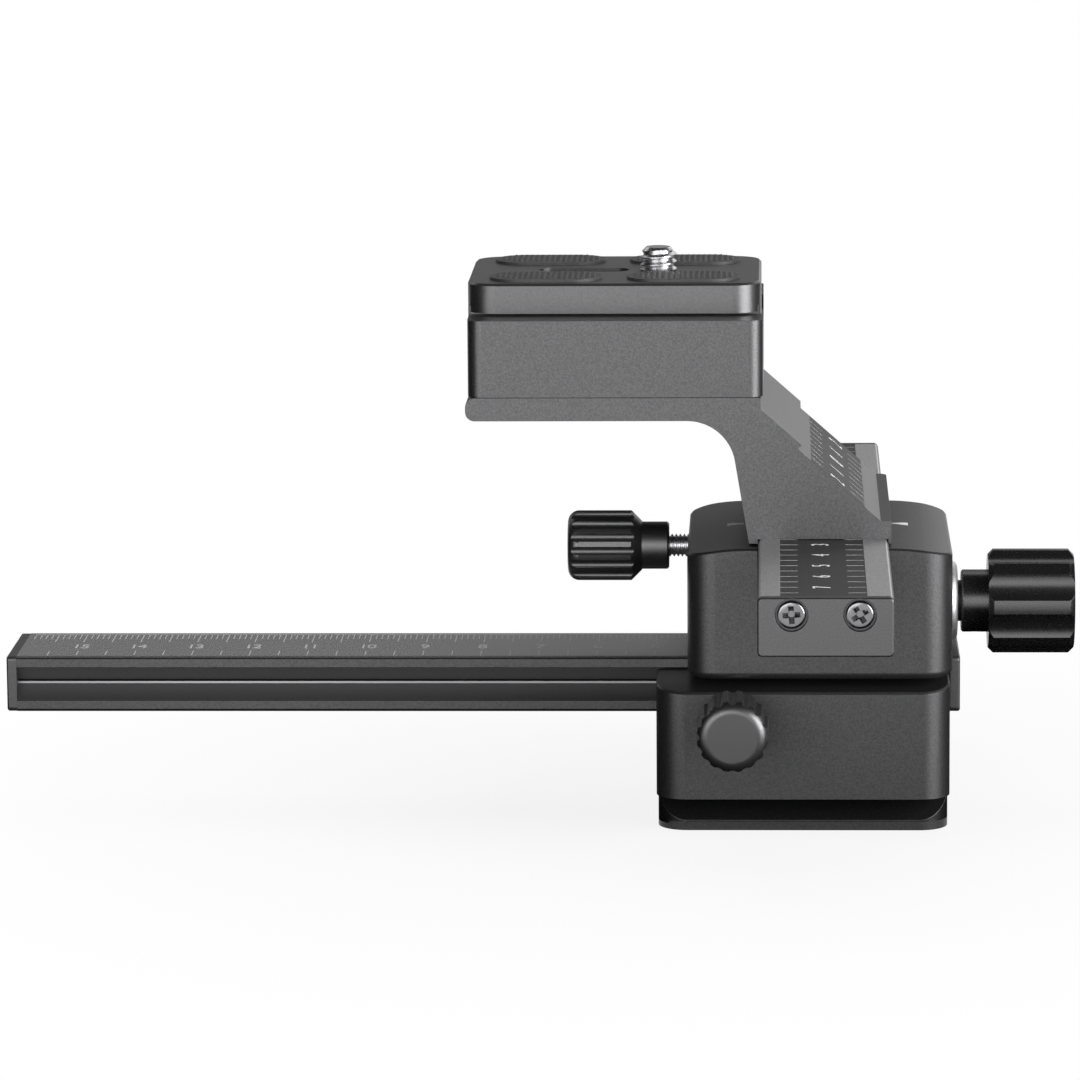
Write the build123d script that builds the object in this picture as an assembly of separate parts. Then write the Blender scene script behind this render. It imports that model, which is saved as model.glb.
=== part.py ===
from build123d import *
from math import atan, cos, pi, radians, sin, sqrt, tan
import os

# Macro focusing rail: two crossed rack-and-pinion slides with a riser and a quick-release clamp.
# Millimetres, +Z up. The origin is the middle of the tripod socket in the foot's underside.
# The lower rail runs along X and the upper rail along Y.

# ---------------------------------------------------------------- driving dimensions
# Foot: a 45 degree dovetail that a tripod clamp grips, with two tripod threads
foot_width = 38.0
foot_height = 6.7
foot_lip_height = 1.8
foot_slope = 3.4
foot_corner_radius = 5.0
foot_end_inset = 0.2
small_socket_radius = 2.6
large_socket_radius = 3.97
large_socket_x = 13.0
foot_screw_x = 19.0
foot_screw_y = 9.0

# Rail section, the same on both slides, with a shallow band for the scale on the upper rail's top
rail_width = 22.0
rail_height = 9.7
land_top_height = 1.9
groove_depth = 2.6
groove_floor_height = 0.7
rail_edge_chamfer = 0.5
scale_band_width = 14.0
scale_band_depth = 0.1
scale_band_offset = -0.3

# Rack and pinion
gear_module = 0.8
pinion_teeth = 14
pressure_angle = 20.0
rack_addendum = 0.62
pinion_addendum = 0.72
root_clearance = 0.18
backlash = 0.10
rack_width = 5.0
rack_thickness = 3.2
rack_recess = 0.05
pinion_width = 4.4

# Slide blocks: the base is square, and the riser and the clamp are as deep as the blocks are long
block_length = 50.0
base_height = 19.9
base_rail_rise = 2.2
upper_block_width = 45.0
upper_block_height = 22.6
upper_block_overhang = 0.35
upper_rail_rise = 1.15
block_corner_radius = 5.0
shoulder_drop = 1.4
shoulder_flat = 24.0
block_edge_chamfer = 0.35
upper_block_bottom_radius = 1.3
block_seat_depth = 1.4
upper_rail_shift = 0.55

# Gib strips that take up the slides' play, each in a pocket that is closed at its ends and above
gib_room = 3.0
slide_gap = 0.12
gib_gap = 0.1
floor_gap = 0.3
groove_tip_gap = 0.3
gib_end_wall = 3.0
gib_roof = 1.2
gib_dimple_gap = 0.1

# Lock screws and their fluted knobs
lock_screw_radius = 1.98
lock_bore_radius = 2.03
lock_dog_radius = 1.2
lock_dog_length = 0.5
lock_tip_gap = 0.05
lock_thread_shown = 3.4
lock_neck_radius = 4.1
lock_neck_length = 4.7
lock_head_radius = 6.05
lock_head_length = 12.8
lock_head_crown = 1.95
lock_head_chamfer = 1.8
lock_flutes = 16
lock_flute_radius = 0.85
lock_flute_depth = 0.5
lock_flute_runout = 0.35
lock_stud_in_head = 8.0
knob_neck_chamfer = 0.3
base_lock_x = -11.85
base_lock_drop = 2.35

# Drive knobs, shafts and bushes
well_radius = 6.6
bush_start = 11.9
bush_proud = 1.4
bush_flange_radius = 6.95
bush_flange_rounding = 1.15
collar_gap = 0.1
collar_length = 0.55
collar_radius = 3.55
shaft_radius = 2.5
shaft_tail_radius = 2.0
shaft_shoulder_radius = 3.8
shaft_tail_end = 9.2
shaft_fit = 0.03
shaft_in_knob = 14.0
shaft_end_gap = 0.3
shaft_shoulder_gap = 0.2
pinion_end_gap = 0.6
drive_neck_radius = 5.4
drive_neck_length = 4.6
drive_head_radius = 9.0
drive_head_length = 14.8
drive_head_chamfer = 0.9
drive_lobes = 8
drive_flute_radius = 4.25
drive_flute_depth = 1.0
drive_knob_phase = 20.0
grub_radius = 1.5
grub_sunk = 0.5

# Rail lengths, end caps and stops
lower_rail_length = 161.0
upper_rail_length = 156.6
upper_rail_offset = 3.0
end_stop_gap = 0.3
cap_thickness = 1.7
cap_corner_radius = 0.8
cap_rim_chamfer = 0.25
cap_screw_spacing = 11.0
cap_screw_rise = 2.0
cap_screw_head_radius = 2.3
cap_counterbore_radius = 2.7
cap_counterbore_depth = 1.1
cap_screw_radius = 1.2
cap_screw_length = 7.0
cap_screw_sunk = 0.1
cap_screw_crown = 0.45
cap_hole_gap = 0.1
rack_margin = 8.0

# Riser bracket
riser_plate_thickness = 3.95
riser_reach = 60.5
riser_height = 24.2
riser_lip_depth = 0.8
riser_left_lip = 1.5
riser_right_lip = 0.5
riser_ledge_height = 3.1
riser_ledge_width = 1.8
riser_slope_top_x = 10.5
riser_slope_angle = 41.5
riser_step_x = 4.2
riser_step_height = 0.9
riser_web_lean = 9.4
riser_inner_radius = 8.2
riser_end_radius = 1.6
riser_corner_radius = 1.5
riser_fit = 0.05

# Quick-release clamp and plate
clamp_length = 50.0
clamp_height = 13.1
clamp_overhang = 0.4
clamp_floor_height = 7.5
clamp_corner_radius = 2.5
clamp_seat_gap = 0.05
clamp_dovetail_width = 38.0
dovetail_lip = 1.3
dovetail_slope = 3.0
jaw_clearance = 0.1
jaw_split_gap = 0.4
jaw_floor_gap = 0.3
jaw_bore_reach = 1.4
clamp_axis_height = 3.7
clamp_pin_spacing = 22.0
clamp_pin_radius = 2.0
clamp_pin_start = 14.0
clamp_pin_fit = 0.04
clamp_pin_end_gap = 0.2
clamp_travel = 3.5
clamp_screw_radius = 2.48
clamp_screw_depth = 14.0
clamp_screw_gap = 0.05
jaw_screw_gap = 0.1
clamp_knob_radius = 7.5
clamp_knob_length = 11.0
clamp_knob_neck = 2.5
clamp_knob_gap = 0.3
clamp_knob_chamfer = 0.8
clamp_screw_in_head = 4.5
plate_end_inset = 0.05
plate_shift = -0.3
plate_body_width = 37.6
plate_body_height = 5.1
plate_bottom_gap = 0.2
plate_top_gap = 0.4
plate_corner_radius = 5.0
plate_edge_chamfer = 0.4
pad_length = 19.3
pad_width = 11.0
pad_x = 11.7
pad_y = 11.5
pad_proud = 0.5
pad_sunk = 0.8
plate_slot_length = 15.6
plate_slot_width = 5.2
plate_slot_x = -5.6
camera_screw_x = 7.2
camera_screw_radius = 3.175
camera_neck_radius = 2.52
camera_hole_radius = 2.6
camera_thread_lift = 0.1
camera_screw_proud = 4.0
camera_head_radius = 6.0
camera_head_height = 2.4
camera_head_gap = 0.05
camera_tip_bevel = 1.1
coin_slot_width = 1.4
coin_slot_depth = 0.9
plate_recess_depth = 3.6
plate_recess_radius = 11.2
ring_wire_radius = 0.75
ring_reach = 10.0
ring_gap = 0.15
ring_pivot_gap = 0.05
ring_pivot_depth = 1.6
ring_pivot_length = 1.5

# Countersunk M3 screws, and how close a seat, a tapped hole and its bottom come to what they hold
seat_gap = 0.02
tap_gap = 0.05
screw_end_gap = 0.4
m3_radius = 1.48
m3_hole_radius = 1.55
m3_head_radius = 2.85
m3_head_height = 1.65
block_screw_x = 15.0
block_screw_y = 6.2
block_screw_length = 12.4
riser_screw_x = 5.8
riser_screw_y = 15.0
riser_screw_length = 14.0
clamp_fix_inset = 6.5
clamp_fix_y = 14.0
clamp_fix_length = 9.0
foot_screw_length = 13.0

# ---------------------------------------------------------------- levels and places
base_bottom = foot_height
base_top = base_bottom + base_height
lower_rail_top = base_top + base_rail_rise
lower_mid = lower_rail_top - rail_height / 2
upper_block_bottom = lower_rail_top - block_seat_depth
upper_block_top = upper_block_bottom + upper_block_height
upper_rail_top = upper_block_top + upper_rail_rise
upper_mid = upper_rail_top - rail_height / 2

base_half = block_length / 2
upper_block_x = base_half + upper_block_overhang - upper_block_width / 2
upper_rail_x = upper_block_x + upper_rail_shift
lower_rail_right = base_half + end_stop_gap
lower_rail_x = lower_rail_right - lower_rail_length / 2

half_width = rail_width / 2
half_height = rail_height / 2
groove_half = groove_depth + groove_floor_height / 2
groove_floor = half_width - groove_depth
groove_mid = half_height - land_top_height - groove_half

pitch = pi * gear_module
pinion_pitch_radius = gear_module * pinion_teeth / 2
rack_tip = -half_height + rack_recess
rack_pitch_line = rack_tip + rack_addendum
drive_axis = rack_pitch_line - pinion_pitch_radius

channel_floor = -half_height - floor_gap
channel_side = half_width + slide_gap
channel_wall = half_width + gib_room

riser_depth = block_length
clamp_depth = block_length
plate_length = clamp_length - 2 * plate_end_inset
riser_bottom = upper_rail_top - riser_lip_depth
riser_top = upper_rail_top + riser_height
clamp_bottom = riser_top + clamp_seat_gap
clamp_top = clamp_bottom + clamp_height
clamp_floor_top = clamp_bottom + clamp_floor_height
clamp_axis = clamp_bottom + clamp_axis_height
riser_left = upper_rail_x - riser_reach
clamp_x = riser_left + clamp_overhang + clamp_length / 2
clamp_y = upper_rail_offset
plate_bottom = clamp_floor_top + plate_bottom_gap
plate_shoulder = clamp_top + plate_top_gap
plate_top = plate_shoulder + plate_body_height
plate_x = clamp_x + plate_shift
camera_x = plate_x + camera_screw_x

# Slide frames: x points to the drive knob, y along the rail, z up, from the middle of the rail's section
base_frame = Location((0, 0, lower_mid), (0, 0, 90))
upper_frame = Location((upper_rail_x, 0, upper_mid))

parts = {}


# ---------------------------------------------------------------- shared shapes
def face_xz(points):
    """Face from points given as (x, z)."""
    return make_face(Polyline(*[(x, 0, z) for x, z in points], close=True))


def along_y(face, length, middle=0.0):
    """Prism of an XZ face along Y, centred on the given Y."""
    return Pos(0, middle, 0) * extrude(face, amount=length / 2, dir=(0, 1, 0), both=True)


def rod_x(radius, start, end, y=0.0, z=0.0):
    """Round rod along X from start to end."""
    return Pos((start + end) / 2, y, z) * Rot(0, 90, 0) * Cylinder(radius, abs(end - start))


def rod_y(radius, start, end, x=0.0, z=0.0):
    """Round rod along Y from start to end."""
    return Pos(x, (start + end) / 2, z) * Rot(90, 0, 0) * Cylinder(radius, abs(end - start))


def rod_z(radius, start, end, x=0.0, y=0.0):
    """Round rod along Z from start to end."""
    return Pos(x, y, (start + end) / 2) * Cylinder(radius, abs(end - start))


def box(x0, x1, y0, y1, z0, z1):
    """Box between two corners."""
    return Pos((x0 + x1) / 2, (y0 + y1) / 2, (z0 + z1) / 2) * Box(x1 - x0, y1 - y0, z1 - z0)


def column(length, width, z0, z1, radius):
    """Upright block with rounded vertical corners."""
    return Pos(0, 0, z0) * extrude(RectangleRounded(length, width, radius), amount=z1 - z0)


def group(solids):
    """Separate solids that share one node."""
    return Compound(children=[s if isinstance(s, Solid) else s.solid() for s in solids])


def flat_screw(x, y, z, length):
    """Countersunk M3 screw, head down, with its head flush at z."""
    head = Cone(m3_head_radius, m3_radius, m3_head_height, align=(Align.CENTER, Align.CENTER, Align.MIN))
    shank = Cylinder(m3_radius, length, align=(Align.CENTER, Align.CENTER, Align.MIN))
    return Pos(x, y, z) * (head + shank)


def flat_screw_hole(x, y, z, length):
    """Clearance and countersink for flat_screw, opened by the screw's running gap."""
    gap = m3_hole_radius - m3_radius
    mouth = m3_head_radius + gap
    head = Cone(mouth, m3_hole_radius, m3_head_height, align=(Align.CENTER, Align.CENTER, Align.MIN))
    shank = Cylinder(m3_hole_radius, length + gap, align=(Align.CENTER, Align.CENTER, Align.MIN))
    return Pos(x, y, z) * (head + shank)


def four_places(x, y, dx, dy):
    """The corners of a screw pattern."""
    return [(x + i * dx, y + j * dy) for i in (-1, 1) for j in (-1, 1)]


# ---------------------------------------------------------------- rails, racks and end caps
def rail_section(banded):
    """Flat bar with a V groove in each side and chamfered edges, with or without the scale's band."""
    c = rail_edge_chamfer
    right = [
        (half_width - c, -half_height),
        (half_width, -half_height + c),
        (half_width, groove_mid - groove_half),
        (groove_floor, groove_mid - groove_floor_height / 2),
        (groove_floor, groove_mid + groove_floor_height / 2),
        (half_width, groove_mid + groove_half),
        (half_width, half_height - c),
        (half_width - c, half_height),
    ]
    left = [(-x, z) for x, z in reversed(right)]
    bar = face_xz(right + left)
    if not banded:
        return bar
    start = scale_band_offset - scale_band_width / 2
    end = scale_band_offset + scale_band_width / 2
    floor = half_height - scale_band_depth
    above = half_height + 1
    return bar - face_xz([(start, floor), (end, floor), (end, above), (start, above)])


def rail(length, middle, rack_start, rack_end, banded):
    """Rail along y with a groove for its rack and tapped holes in both ends."""
    body = along_y(rail_section(banded), length, middle)
    body -= box(
        -rack_width / 2, rack_width / 2, rack_start, rack_end,
        -half_height - 1, rack_tip + rack_thickness,
    )
    depth = cap_screw_length - cap_thickness + screw_end_gap
    for end in (-1, 1):
        edge = middle + end * length / 2
        for side in (-1, 1):
            x = side * cap_screw_spacing / 2
            body -= rod_y(cap_screw_radius + tap_gap, edge - end * depth, edge + end, x, cap_screw_rise)
    return body


def rack(start, end):
    """Rack with straight 20 degree flanks; a space lies over the pinion at y = 0."""
    slope = tan(radians(pressure_angle))
    half_tooth = pitch / 4 - backlash / 4
    tip_half = half_tooth - rack_addendum * slope
    root = rack_tip + rack_addendum + pinion_addendum + root_clearance
    root_half = half_tooth + (root - rack_pitch_line) * slope
    first = int(start / pitch) - 1
    centres = [(k + 0.5) * pitch for k in range(first, first + int((end - start) / pitch) + 4)]
    centres = [y for y in centres if start + root_half < y < end - root_half]
    points = [(start, root)]
    for y in centres:
        points += [(y - root_half, root), (y - tip_half, rack_tip)]
        points += [(y + tip_half, rack_tip), (y + root_half, root)]
    points += [(end, root), (end, rack_tip + rack_thickness), (start, rack_tip + rack_thickness)]
    outline = make_face(Polyline(*[(0, y, z) for y, z in points], close=True))
    return extrude(outline, amount=rack_width / 2, dir=(1, 0, 0), both=True)


def end_cap(edge, outward):
    """Cap on a rail's end at y = edge, counterbored for two pan head screws."""
    section = RectangleRounded(rail_width, rail_height, cap_corner_radius)
    plate = extrude(section, amount=cap_thickness)
    rim = plate.faces().sort_by(Axis.Z)[-1].edges()
    plate = chamfer(rim, cap_rim_chamfer)
    for side in (-1, 1):
        x = side * cap_screw_spacing / 2
        plate -= rod_z(cap_screw_radius + cap_hole_gap, -1, cap_thickness + 1, x, cap_screw_rise)
        sink = cap_thickness - cap_counterbore_depth
        plate -= rod_z(cap_counterbore_radius, sink, cap_thickness + 1, x, cap_screw_rise)
    plate = Rot(90, 0, 0) * plate
    if outward > 0:
        plate = Rot(0, 0, 180) * plate
    return Pos(0, edge, 0) * plate


def cap_screws(edge, outward):
    """Two pan head screws in one end cap."""
    seat = edge + outward * (cap_thickness - cap_counterbore_depth)
    top = edge + outward * (cap_thickness - cap_screw_sunk)
    screws = []
    for side in (-1, 1):
        x = side * cap_screw_spacing / 2
        head = rod_y(cap_screw_head_radius, seat, top, x, cap_screw_rise)
        crown = head.edges().sort_by(Axis.Y)[-1 if outward > 0 else 0]
        head = fillet(crown, cap_screw_crown)
        tip = top - outward * cap_screw_length
        screws.append(head + rod_y(cap_screw_radius, seat, tip, x, cap_screw_rise))
    return screws


# ---------------------------------------------------------------- slide blocks and gibs
def ridge_half(x):
    """Half height of a V ridge at x that runs in the rail's groove with the slide gap."""
    return x - groove_floor + groove_floor_height / 2 - slide_gap * sqrt(2)


def channel_section(top):
    """Opening for the rail: a V ridge on the drive side and a plain wall on the gib's side."""
    side = channel_side
    tip = groove_floor + groove_tip_gap
    return face_xz(
        [
            (-side, channel_floor),
            (side, channel_floor),
            (side, groove_mid - ridge_half(side)),
            (tip, groove_mid - ridge_half(tip)),
            (tip, groove_mid + ridge_half(tip)),
            (side, groove_mid + ridge_half(side)),
            (side, top + 5),
            (-side, top + 5),
        ]
    )


def gib_pocket(top):
    """Pocket beside the channel that holds the gib."""
    end = block_length / 2 - gib_end_wall
    return box(-channel_wall, -half_width, -end, end, channel_floor, top - gib_roof)


def shoulder_section(width, middle, bottom, top):
    """Block section whose top is flat in the middle and falls in an arc to both sides."""
    half = width / 2
    flat = shoulder_flat / 2
    run = half - flat
    radius = (run**2 + shoulder_drop**2) / (2 * shoulder_drop)
    mid_angle = 0.5 * (2 * shoulder_drop / run)
    mid_x = flat + radius * sin(mid_angle)
    mid_z = top - radius * (1 - cos(mid_angle))
    edge_z = top - shoulder_drop
    outline = Polyline(
        (middle - half, 0, edge_z), (middle - half, 0, bottom), (middle + half, 0, bottom),
        (middle + half, 0, edge_z),
    )
    right = ThreePointArc(
        (middle + half, 0, edge_z), (middle + mid_x, 0, mid_z), (middle + flat, 0, top)
    )
    crest = Line((middle + flat, 0, top), (middle - flat, 0, top))
    left = ThreePointArc(
        (middle - flat, 0, top), (middle - mid_x, 0, mid_z), (middle - half, 0, edge_z)
    )
    return make_face(outline + right + crest + left)


def slide_block(width, middle, bottom, top, bottom_radius):
    """Outer form of a slide block in its slide frame."""
    body = Pos(middle, 0, 0) * column(width, block_length, bottom, top, block_corner_radius)
    if bottom_radius:
        body = fillet(body.faces().sort_by(Axis.Z)[0].edges(), bottom_radius)
    body &= along_y(shoulder_section(width, middle, bottom - 1, top), block_length + 2)
    low = top - shoulder_drop - 0.01
    rim = [e for e in body.edges() if e.bounding_box().min.Z > low]
    return chamfer(rim, block_edge_chamfer)


def gib(top, lock_y, lock_z):
    """Strip with a V ridge that the lock screw presses into the rail's groove."""
    outer = -(channel_wall - gib_gap)
    inner = -channel_side
    tip = -(groove_floor + groove_tip_gap)
    strip_top = top - gib_roof - gib_gap
    crest = tip - (strip_top - groove_mid - ridge_half(-tip))
    section = face_xz(
        [
            (outer, channel_floor + gib_gap),
            (inner, channel_floor + gib_gap),
            (inner, groove_mid - ridge_half(-inner)),
            (tip, groove_mid - ridge_half(-tip)),
            (tip, groove_mid + ridge_half(-tip)),
            (crest, strip_top),
            (outer, strip_top),
        ]
    )
    strip = along_y(section, block_length - 2 * (gib_end_wall + gib_gap))
    dimple = lock_dog_radius + gib_dimple_gap
    dimple_end = outer + lock_dog_length + gib_dimple_gap
    return strip - rod_x(dimple, outer - 1, dimple_end, lock_y, lock_z)


# ---------------------------------------------------------------- knobs, shafts and gears
def drive_knob(neck_start):
    """Knob along x with eight broad lobes and a slim neck, bored for the shaft."""
    head_start = neck_start + drive_neck_length
    head_end = head_start + drive_head_length
    neck = rod_x(drive_neck_radius, neck_start, head_start + 1)
    neck = chamfer(neck.edges().sort_by(Axis.X)[0], knob_neck_chamfer)
    head = rod_x(drive_head_radius, head_start, head_end)
    head = chamfer(head.edges().filter_by(GeomType.CIRCLE), drive_head_chamfer)
    cutter_middle = drive_head_radius - drive_flute_depth + drive_flute_radius
    for k in range(drive_lobes):
        turn = k * 360 / drive_lobes + drive_knob_phase
        flute = rod_x(drive_flute_radius, head_start - 1, head_end + 1, 0, cutter_middle)
        head -= Rot(turn, 0, 0) * flute
    body = neck + head
    body -= rod_x(shaft_radius, neck_start - 1, neck_start + shaft_in_knob)
    grub_x = neck_start + drive_neck_length / 2
    return body - rod_z(grub_radius, -drive_neck_radius - 1, 0, grub_x)


def drive_grub(neck_start):
    """Grub screw that holds the knob on its shaft, sunk in the underside of the neck."""
    grub_x = neck_start + drive_neck_length / 2
    screw = rod_z(grub_radius, -drive_neck_radius + grub_sunk, 0, grub_x)
    return screw - rod_x(shaft_radius, grub_x - 5, grub_x + 5)


def drive_shaft(neck_start):
    """Stepped shaft: tail journal, pinion seat, shoulder, bush journal and knob seat."""
    seat = pinion_width / 2
    body = rod_x(shaft_tail_radius, -shaft_tail_end, -seat)
    body += rod_x(shaft_radius, -seat, seat)
    shoulder_end = bush_start - shaft_shoulder_gap
    body += rod_x(shaft_shoulder_radius, seat, shoulder_end)
    return body + rod_x(shaft_radius, shoulder_end, neck_start + shaft_in_knob - shaft_end_gap)


def pinion():
    """Fourteen involute teeth about x, with a tooth pointing up into the rack's space."""
    base_radius = pinion_pitch_radius * cos(radians(pressure_angle))
    tip_radius = pinion_pitch_radius + pinion_addendum
    root_radius = pinion_pitch_radius - rack_addendum - root_clearance
    involute = tan(radians(pressure_angle)) - radians(pressure_angle)
    half_at_pitch = (pitch / 2 - backlash / 2) / (2 * pinion_pitch_radius)

    def half_angle(radius):
        roll = sqrt(max(radius**2 / base_radius**2 - 1, 0))
        return half_at_pitch + involute - (roll - atan(roll))

    flank = [root_radius, base_radius, (base_radius + pinion_pitch_radius) / 2]
    flank += [pinion_pitch_radius, (pinion_pitch_radius + tip_radius) / 2, tip_radius]
    points = []
    for k in range(pinion_teeth):
        middle = pi / 2 + 2 * pi * k / pinion_teeth
        right = [(r, middle - half_angle(max(r, base_radius))) for r in flank]
        left = [(r, middle + half_angle(max(r, base_radius))) for r in reversed(flank)]
        points += [(0, r * cos(a), r * sin(a)) for r, a in right + left]
    outline = make_face(Polyline(*points, close=True))
    gear = extrude(outline, amount=pinion_width / 2, dir=(1, 0, 0), both=True)
    return gear - rod_x(shaft_radius, -pinion_width, pinion_width)


def bush(face):
    """Turned bush in the block's side, with a rounded flange on the block's face."""
    flange = rod_x(bush_flange_radius, face, face + bush_proud)
    flange = fillet(flange.edges().sort_by(Axis.X)[-1], bush_flange_rounding)
    body = rod_x(well_radius, bush_start, face) + flange
    return body - rod_x(shaft_radius + shaft_fit, bush_start - 1, face + bush_proud + 1)


def collar(face):
    """Spacer collar on the shaft between the bush and the knob."""
    start = face + bush_proud + collar_gap
    body = rod_x(collar_radius, start, start + collar_length)
    return body - rod_x(shaft_radius, start - 1, start + collar_length + 1)


def lock_knob(neck_start):
    """Fluted knob along x, growing outwards from neck_start, with a crowned end."""
    head_start = neck_start + lock_neck_length
    head_end = head_start + lock_head_length
    head = rod_x(lock_head_radius, head_start, head_end)
    circles = head.edges().filter_by(GeomType.CIRCLE).sort_by(Axis.X)
    head = chamfer(circles[0], lock_head_chamfer)
    circles = head.edges().filter_by(GeomType.CIRCLE).sort_by(Axis.X)
    head = fillet(circles[-1], lock_head_crown)
    cutter_middle = lock_head_radius - lock_flute_depth + lock_flute_radius
    flute_end = head_end - lock_flute_runout * lock_head_crown
    for k in range(lock_flutes):
        flute = rod_x(lock_flute_radius, head_start - 1, flute_end, 0, cutter_middle)
        head -= Rot(360 * k / lock_flutes, 0, 0) * flute
    neck = rod_x(lock_neck_radius, neck_start, head_start + 1)
    neck = chamfer(neck.edges().sort_by(Axis.X)[0], knob_neck_chamfer)
    return head + neck - rod_x(lock_screw_radius, neck_start - 1, head_start + lock_stud_in_head)


def lock_screw(tip, neck_start):
    """M4 stud with a dog point, from the gib to deep inside the knob."""
    body = rod_x(lock_screw_radius, tip, neck_start + lock_neck_length + lock_stud_in_head)
    return body + rod_x(lock_dog_radius, tip - lock_dog_length, tip + 1)


# ---------------------------------------------------------------- slides put together
def make_slide(name, frame, width, shift, bottom, top, bottom_radius, lock_y, lock_z):
    """Block, gib, lock and drive of one slide. Returns the block for the cuts that only it has."""
    face = width / 2 - shift
    lock_face = width / 2 + shift
    block = slide_block(width, -shift, bottom, top, bottom_radius)
    block -= along_y(channel_section(top), block_length + 10)
    block -= gib_pocket(top)
    block -= rod_x(lock_bore_radius, -lock_face - 1, -channel_wall + 1, lock_y, lock_z)
    block -= rod_x(well_radius, -pinion_width / 2 - pinion_end_gap, face + 1, 0, drive_axis)
    tail = -shaft_tail_end - shaft_end_gap
    block -= rod_x(shaft_tail_radius + shaft_fit, tail, 0, 0, drive_axis)
    parts[name + "_gib"] = frame * gib(top, lock_y, lock_z)

    at_lock = frame * Location((0, lock_y, lock_z), (0, 0, 180))
    tip = channel_wall - gib_gap + lock_tip_gap
    neck = lock_face + lock_thread_shown
    parts[name + "_lock_screw"] = at_lock * lock_screw(tip, neck)
    parts[name + "_lock_knob"] = at_lock * lock_knob(neck)

    at_drive = frame * Location((0, 0, drive_axis))
    neck = face + bush_proud + collar_gap + collar_length
    parts[name + "_bush"] = at_drive * bush(face)
    parts[name + "_collar"] = at_drive * collar(face)
    parts[name + "_pinion"] = at_drive * pinion()
    parts[name + "_pinion_shaft"] = at_drive * drive_shaft(neck)
    parts[name + "_drive_knob"] = at_drive * drive_knob(neck)
    parts[name + "_knob_grub_screw"] = at_drive * drive_grub(neck)
    return frame * block


def make_rail(name, frame, length, middle, travel, caps, banded):
    """Rail, rack, end caps and their screws. Returns the rail for the cuts that only it has."""
    rack_start = middle - travel[0] - rack_margin
    rack_end = middle + travel[1] + rack_margin
    parts[name + "_rack"] = frame * rack(rack_start, rack_end)
    screws = []
    for cap, outward in zip(caps, (-1, 1)):
        edge = middle + outward * length / 2
        parts[cap] = frame * end_cap(edge, outward)
        screws += [frame * s for s in cap_screws(edge, outward)]
    parts[name + "_cap_screws"] = group(screws)
    return frame * rail(length, middle, rack_start, rack_end, banded)


# ---------------------------------------------------------------- foot
def foot_plate():
    """Dovetail foot, widest at the bottom, with rounded ends and two tripod threads."""
    half = foot_width / 2
    neck = half - foot_slope
    slope_top = foot_lip_height + foot_slope
    profile = [
        (-half, 0), (half, 0), (half, foot_lip_height), (neck, slope_top), (neck, foot_height),
        (-neck, foot_height), (-neck, slope_top), (-half, foot_lip_height),
    ]
    section = make_face(Polyline(*[(0, y, z) for y, z in profile], close=True))
    length = block_length - 2 * foot_end_inset
    body = extrude(section, amount=length / 2, dir=(1, 0, 0), both=True)
    body &= column(length, foot_width, -1, foot_height + 1, foot_corner_radius)
    body -= rod_z(small_socket_radius, -1, foot_height + 1)
    body -= rod_z(large_socket_radius, -1, foot_height + 1, large_socket_x)
    for x, y in four_places(0, 0, foot_screw_x, foot_screw_y):
        body -= flat_screw_hole(x, y, 0, foot_height + 1)
    return body


parts["foot_plate"] = foot_plate()
foot_places = four_places(0, 0, foot_screw_x, foot_screw_y)
parts["foot_screws"] = group([flat_screw(x, y, 0, foot_screw_length) for x, y in foot_places])

# ---------------------------------------------------------------- lower slide
base = make_slide(
    "base", base_frame, block_length, 0.0, base_bottom - lower_mid, base_top - lower_mid, 0.0,
    -base_lock_x, -base_lock_drop,
)
for x, y in foot_places:
    base -= rod_z(m3_hole_radius, base_bottom - 1, foot_screw_length + screw_end_gap, x, y)
parts["base_block"] = base

# In the base frame y runs towards -X, so the rail's middle changes sign
lower_travel = lower_rail_length - block_length - 2 * end_stop_gap
lower_rail = make_rail(
    "lower", base_frame, lower_rail_length, -lower_rail_x,
    (-lower_rail_x, lower_travel + lower_rail_x), ("lower_right_cap", "lower_left_cap"), False,
)
block_places = four_places(upper_block_x, 0, block_screw_x, block_screw_y)
lower_rail_bottom = lower_rail_top - rail_height
for x, y in block_places:
    lower_rail -= flat_screw_hole(x, y, lower_rail_bottom, rail_height + 1)
parts["lower_rail"] = lower_rail
parts["block_screws"] = group(
    [flat_screw(x, y, lower_rail_bottom, block_screw_length) for x, y in block_places]
)

# ---------------------------------------------------------------- upper slide
upper = make_slide(
    "upper", upper_frame, upper_block_width, upper_rail_shift,
    upper_block_bottom - upper_mid, upper_block_top - upper_mid, upper_block_bottom_radius, 0.0, 0.0,
)
upper -= box(
    upper_block_x - upper_block_width, upper_block_x + upper_block_width,
    -half_width - seat_gap, half_width + seat_gap, upper_block_bottom - 1, lower_rail_top,
)
block_hole_top = lower_rail_bottom + block_screw_length + screw_end_gap
for x, y in block_places:
    upper -= rod_z(m3_hole_radius, upper_block_bottom, block_hole_top, x, y)
parts["upper_block"] = upper

upper_stop = upper_rail_length / 2 - block_length / 2
upper_rail = make_rail(
    "upper", upper_frame, upper_rail_length, upper_rail_offset,
    (upper_stop, upper_stop), ("front_cap", "rear_cap"), True,
)
upper_rail_bottom = upper_rail_top - rail_height
riser_places = four_places(upper_rail_x, upper_rail_offset, riser_screw_x, riser_screw_y)
for x, y in riser_places:
    upper_rail -= flat_screw_hole(x, y, upper_rail_bottom, rail_height + 1)
parts["upper_rail"] = upper_rail
parts["riser_screws"] = group(
    [flat_screw(x, y, upper_rail_bottom, riser_screw_length) for x, y in riser_places]
)


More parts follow.
